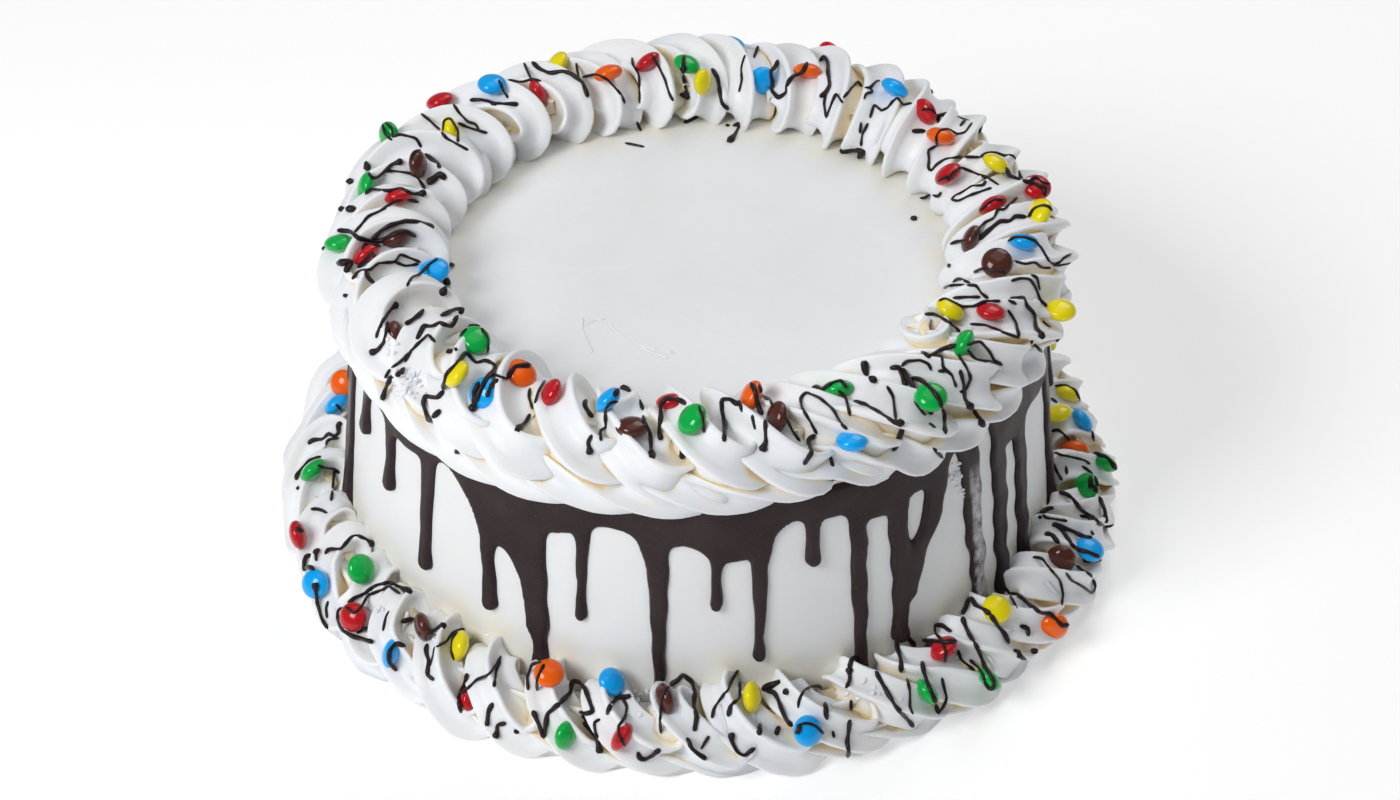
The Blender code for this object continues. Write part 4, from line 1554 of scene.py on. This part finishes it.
def hiddenStrand(route, rope, floorHeight, trees):
    # route is a list of (angle, degrees round the rope); only the part that the camera can't see
    middle, level, _ = rope["core"]
    reach = drizzle["hiddenReach"]
    lowest, highest = floorHeight - drizzle["hiddenBelow"], floorHeight + rope["top"]
    lines, depths = [], []
    for angle, degrees in route:
        turn = math.radians(degrees)
        spine = aroundCake(angle, middle, floorHeight + level)
        way = aroundCake(angle, math.cos(turn), 0) + Vector((0, 0, math.sin(turn)))
        start = spine + way * reach
        far = castOnto(trees, start, -way, reach)
        place = None if far is None else start - way * far
        onRope = place is not None and lowest < place.z < highest
        if onRope and outOfSight(place + Vector((0, 0, drizzle["hiddenMargin"])), trees):
            lines.append((start, -way))
            depths.append(far)
        elif len(lines) >= drizzle["shortest"]:
            break
    if len(lines) < drizzle["shortest"]:
        return None
    return drapedStrand(lines, depths, drizzle["hiddenRadius"], drizzle["hiddenEnd"])


strokes = {
    # degrees round the rope: how far from each end of the span a stroke starts and stops
    "startWithin": 55,
    "endWithin": 60,
    "shorterBy": 50,
    # how many are shorter, go the other way, and go there and back
    "shorter": 0.35,
    "turned": 0.5,
    "double": 0.3,
    # millimetres along the ring, and waves in one stroke
    "drift": 13,
    "wiggle": (0.8, 2.6),
    "waves": (1.2, 3.2),
    "fullTurn": 6.28,
    # degrees in a radian and the rope's radius in millimetres, for the length of a stroke
    "radian": 57.3,
    "ropeRadius": 17,
    "leastSteps": 6,
}


def strokeRoute(draw, angle, span, middle):
    # one swing of the bag across the rope, sometimes there and back
    low, high = span
    start = draw.uniform(low, low + strokes["startWithin"])
    end = draw.uniform(high - strokes["endWithin"], high)
    if draw.random() < strokes["shorter"]:
        start = draw.uniform(low, high - strokes["shorterBy"])
        end = draw.uniform(low + strokes["shorterBy"], high)
    if draw.random() < strokes["turned"]:
        start, end = end, start
    drift = draw.uniform(-strokes["drift"], strokes["drift"]) * mm / middle
    double = draw.random() < strokes["double"]
    wiggle = draw.uniform(*strokes["wiggle"]) * mm / middle
    pace = draw.uniform(*strokes["waves"])
    phase = draw.uniform(0, strokes["fullTurn"])
    across = abs(end - start) / strokes["radian"] * strokes["ropeRadius"] * mm
    length = across * (2 if double else 1) + abs(drift) * middle
    count = max(strokes["leastSteps"], int(length / drizzle["pointStep"]))
    route = []
    for step in range(count + 1):
        share = step / count
        swing = 1 - abs(1 - 2 * share) if double else share
        wave = wiggle * math.sin(phase + share * pace * strokes["fullTurn"])
        route.append((angle + drift * share + wave, start + (end - start) * swing))
    return route


def hiddenStrands(trees, rope, floorHeight, count, span, draw):
    uneven = drizzle["hiddenUneven"]
    strands = []
    for number in range(count):
        angle = 2 * math.pi * (number + draw.uniform(-uneven, uneven)) / count
        route = strokeRoute(draw, angle, span, rope["core"][0])
        strand = hiddenStrand(route, rope, floorHeight, trees)
        if strand:
            strands.append(strand)
    return strands


def threadTree():
    tree, given = newTree("chocolateThread", (("Sides", "Int"), *sweepInputs))
    ring = addNode(tree, "GeometryNodeCurvePrimitiveCircle", Resolution=given["Sides"], Radius=1.0)
    return roughSweep(tree, given, ring.outputs["Curve"])


def makeDrizzle(name, strands, tree, material):
    piece = bakedNodes(name, curveObject(name + "_path", strands), tree, {
        "Sides": drizzle["sides"], "Rough": drizzle["uneven"], "Rough Scale": drizzle["unevenScale"],
        "Material": material,
    })
    print(name + ":", len(strands), "strands,", len(piece.data.polygons), "faces")
    return piece


# Faint marks on the flat top, and torn bits of icing

markLines = {
    "scratch": (
        (583, 318, 582, 328, 588, 343, 592, 352), (583, 326, 596, 320, 604, 319),
        (606, 322, 622, 336, 640, 345, 656, 350), (640, 347, 655, 354, 668, 358),
        (655, 352, 664, 352, 674, 353), (668, 350, 674, 354),
    ),
}
crumbs = {
    # patches: pixel at the middle, half width, half height, how many
    "patches": (
        (405, 378, 16, 20, 46), (390, 350, 8, 10, 10), (958, 472, 8, 13, 34), (965, 490, 5, 10, 12),
        (445, 640, 30, 12, 14), (372, 600, 16, 20, 12), (640, 700, 60, 16, 14), (860, 690, 60, 14, 12),
    ),
    "size": (0.35 * mm, 1.15 * mm),
    "stretch": ((0.7, 0.6, 0.4), (1.5, 1.1, 0.8)),
    "turns": ((0, 0, 0), (6, 6, 6)),
    "sunk": 0.1,
    "rounds": 2,
    "seed": 12,
}


def crumbPoints(trees, material):
    draw = random.Random(crumbs["seed"])
    places, sizes = [], []
    for x, y, across, up, count in crumbs["patches"]:
        for _ in range(count):
            eye, sight = photoRay(x + draw.gauss(0, across / 2), y + draw.gauss(0, up / 2))
            size = draw.uniform(*crumbs["size"])
            far = castOnto(trees, eye, sight, sightLines["reach"])
            if far is not None:
                places.append(eye + sight * (far + crumbs["sunk"] * size))
                sizes.append(size)
    points = meshPiece("crumb_points", places, [], material, False)
    setPointValues(points, "size", sizes)
    return points


def crumbTree():
    # small uneven lumps, each turned and stretched its own way
    sockets = (("Rounds", "Int"), ("Seed", "Int"), ("Material", "Material"))
    tree, given = newTree("icingCrumbs", sockets)
    lump = addNode(tree, "GeometryNodeMeshIcoSphere", Radius=1.0, Subdivisions=given["Rounds"])
    turn, shape = [addNode(
        tree, "FunctionNodeRandomValue", {"data_type": "FLOAT_VECTOR"}, Seed=given["Seed"],
        i0=least, i1=most,
    ) for least, most in (crumbs["turns"], crumbs["stretch"])]
    size = addNode(tree, "GeometryNodeInputNamedAttribute", {"data_type": "FLOAT"}, Name="size")
    scale = addNode(
        tree, "ShaderNodeVectorMath", {"operation": "SCALE"}, i0=shape.outputs[0], Scale=size.outputs[0]
    )
    placed = addNode(
        tree, "GeometryNodeInstanceOnPoints", Points=given["Geometry"], Instance=lump.outputs["Mesh"],
        Rotation=turn.outputs[0], Scale=scale.outputs[0],
    )
    endTree(tree, placed.outputs[0], given["Material"])
    return tree


def makeCrumbs(trees, material):
    piece = bakedNodes("icing_crumbs", crumbPoints(trees, material), crumbTree(), {
        "Rounds": crumbs["rounds"], "Seed": crumbs["seed"], "Material": material,
    })
    print("crumbs:", len(piece.data.polygons), "faces")
    return piece


# Floor, lights and world

studio = {
    "floorSize": 4.0,
    "floorColour": (0.88, 0.88, 0.88),
    "floorRoughness": 0.9,
    "floorGlow": 0.26,
    "worldStrength": 0.18,
    # place, power and width of each soft light
    "lights": (
        ("keyLight", (-0.85, -0.77, 0.97), 13.2, 0.6),
        ("backLight", (0.6, 1.0, 1.2), 6.5, 0.9),
        ("topLight", (0.1, 0.1, 1.4), 3.9, 1.2),
    ),
}


def makeStage():
    material, _, shader = newMaterial(
        "paleFloor", studio["floorColour"], studio["floorRoughness"]
    )
    shader.inputs["Emission Color"].default_value = (1, 1, 1, 1)
    shader.inputs["Emission Strength"].default_value = studio["floorGlow"]
    size = studio["floorSize"]
    corners = [(-size, -size, 0), (size, -size, 0), (size, size, 0), (-size, size, 0)]
    floor = meshPiece("floor", corners, [(0, 1, 2, 3)], material, smooth=False)
    for name, place, power, width in studio["lights"]:
        light = bpy.data.lights.new(name, "AREA")
        light.energy = power
        light.size = width
        lamp = newObject(name, light)
        lamp.location = place
        lamp.rotation_euler = Vector(place).to_track_quat("Z", "Y").to_euler()
    world = bpy.data.worlds.new("softStudio")
    bpy.context.scene.world = world
    world.use_nodes = True
    background = world.node_tree.nodes["Background"]
    background.inputs["Color"].default_value = (1, 1, 1, 1)
    background.inputs["Strength"].default_value = studio["worldStrength"]
    bpy.context.scene.view_settings.view_transform = "Standard"


def handOver(piece, slot, *nodes):
    highest = max(point.co.z for point in piece.data.vertices)
    print(piece.name, "reaches", round(highest / mm, 1), "mm up")
    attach(piece, "root")
    if nodes:
        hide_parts(*nodes)


camera = placeCamera()
makeStage()
cream = creamMaterial()
dark = chocolateMaterial("setChocolate", chocolateLook)

icedBody = makeBody(icingMaterial())
handOver(icedBody, "icing", "cake")

handOver(makeChocolate(dark), "chocolate", "chocolate_drip")

rope, shape = ropeTree(), nozzleOutline()
topPiping = makeRope("top_piping", topRope, icingTop, rope, shape, cream)
footPiping = makeRope("foot_piping", footRope, 0.0, rope, shape, cream)
bpy.data.objects.remove(shape, do_unlink=True)
handOver(topPiping, "piped_cream", "top_border")
handOver(footPiping, "piped_cream", "base_border")

topTree, footTree, bodyTree = rayTree(topPiping), rayTree(footPiping), rayTree(icedBody)
markPaintedNearShade(icedBody, [topTree, footTree])
sweetPieces = makeSweets(sweetSeats(topTree, footTree, bodyTree))
for piece in sweetPieces:
    handOver(piece, "sweets", "top_border", "base_border")

allTrees = [topTree, footTree, bodyTree, *[rayTree(piece) for piece in sweetPieces]]
draw = random.Random(drizzle["seed"])
thread, black = threadTree(), chocolateMaterial("threadChocolate", threadLook)
for name, lines, ringRope, floorHeight in (
    ("top_drizzle", topLines, topRope, icingTop), ("foot_drizzle", footLines, footRope, 0.0),
):
    strands = shownStrands(lines, allTrees, *drizzle["between"][name])
    strands += hiddenStrands(allTrees, ringRope, floorHeight, *drizzle["hidden"][name], draw)
    handOver(makeDrizzle(name, strands, thread, black), "chocolate")

marks = shownStrands(markLines, [bodyTree], *drizzle["between"]["top_marks"])
handOver(makeDrizzle("top_marks", marks, thread, cream), "icing")
handOver(makeCrumbs([topTree, footTree, bodyTree], cream), "piped_cream")
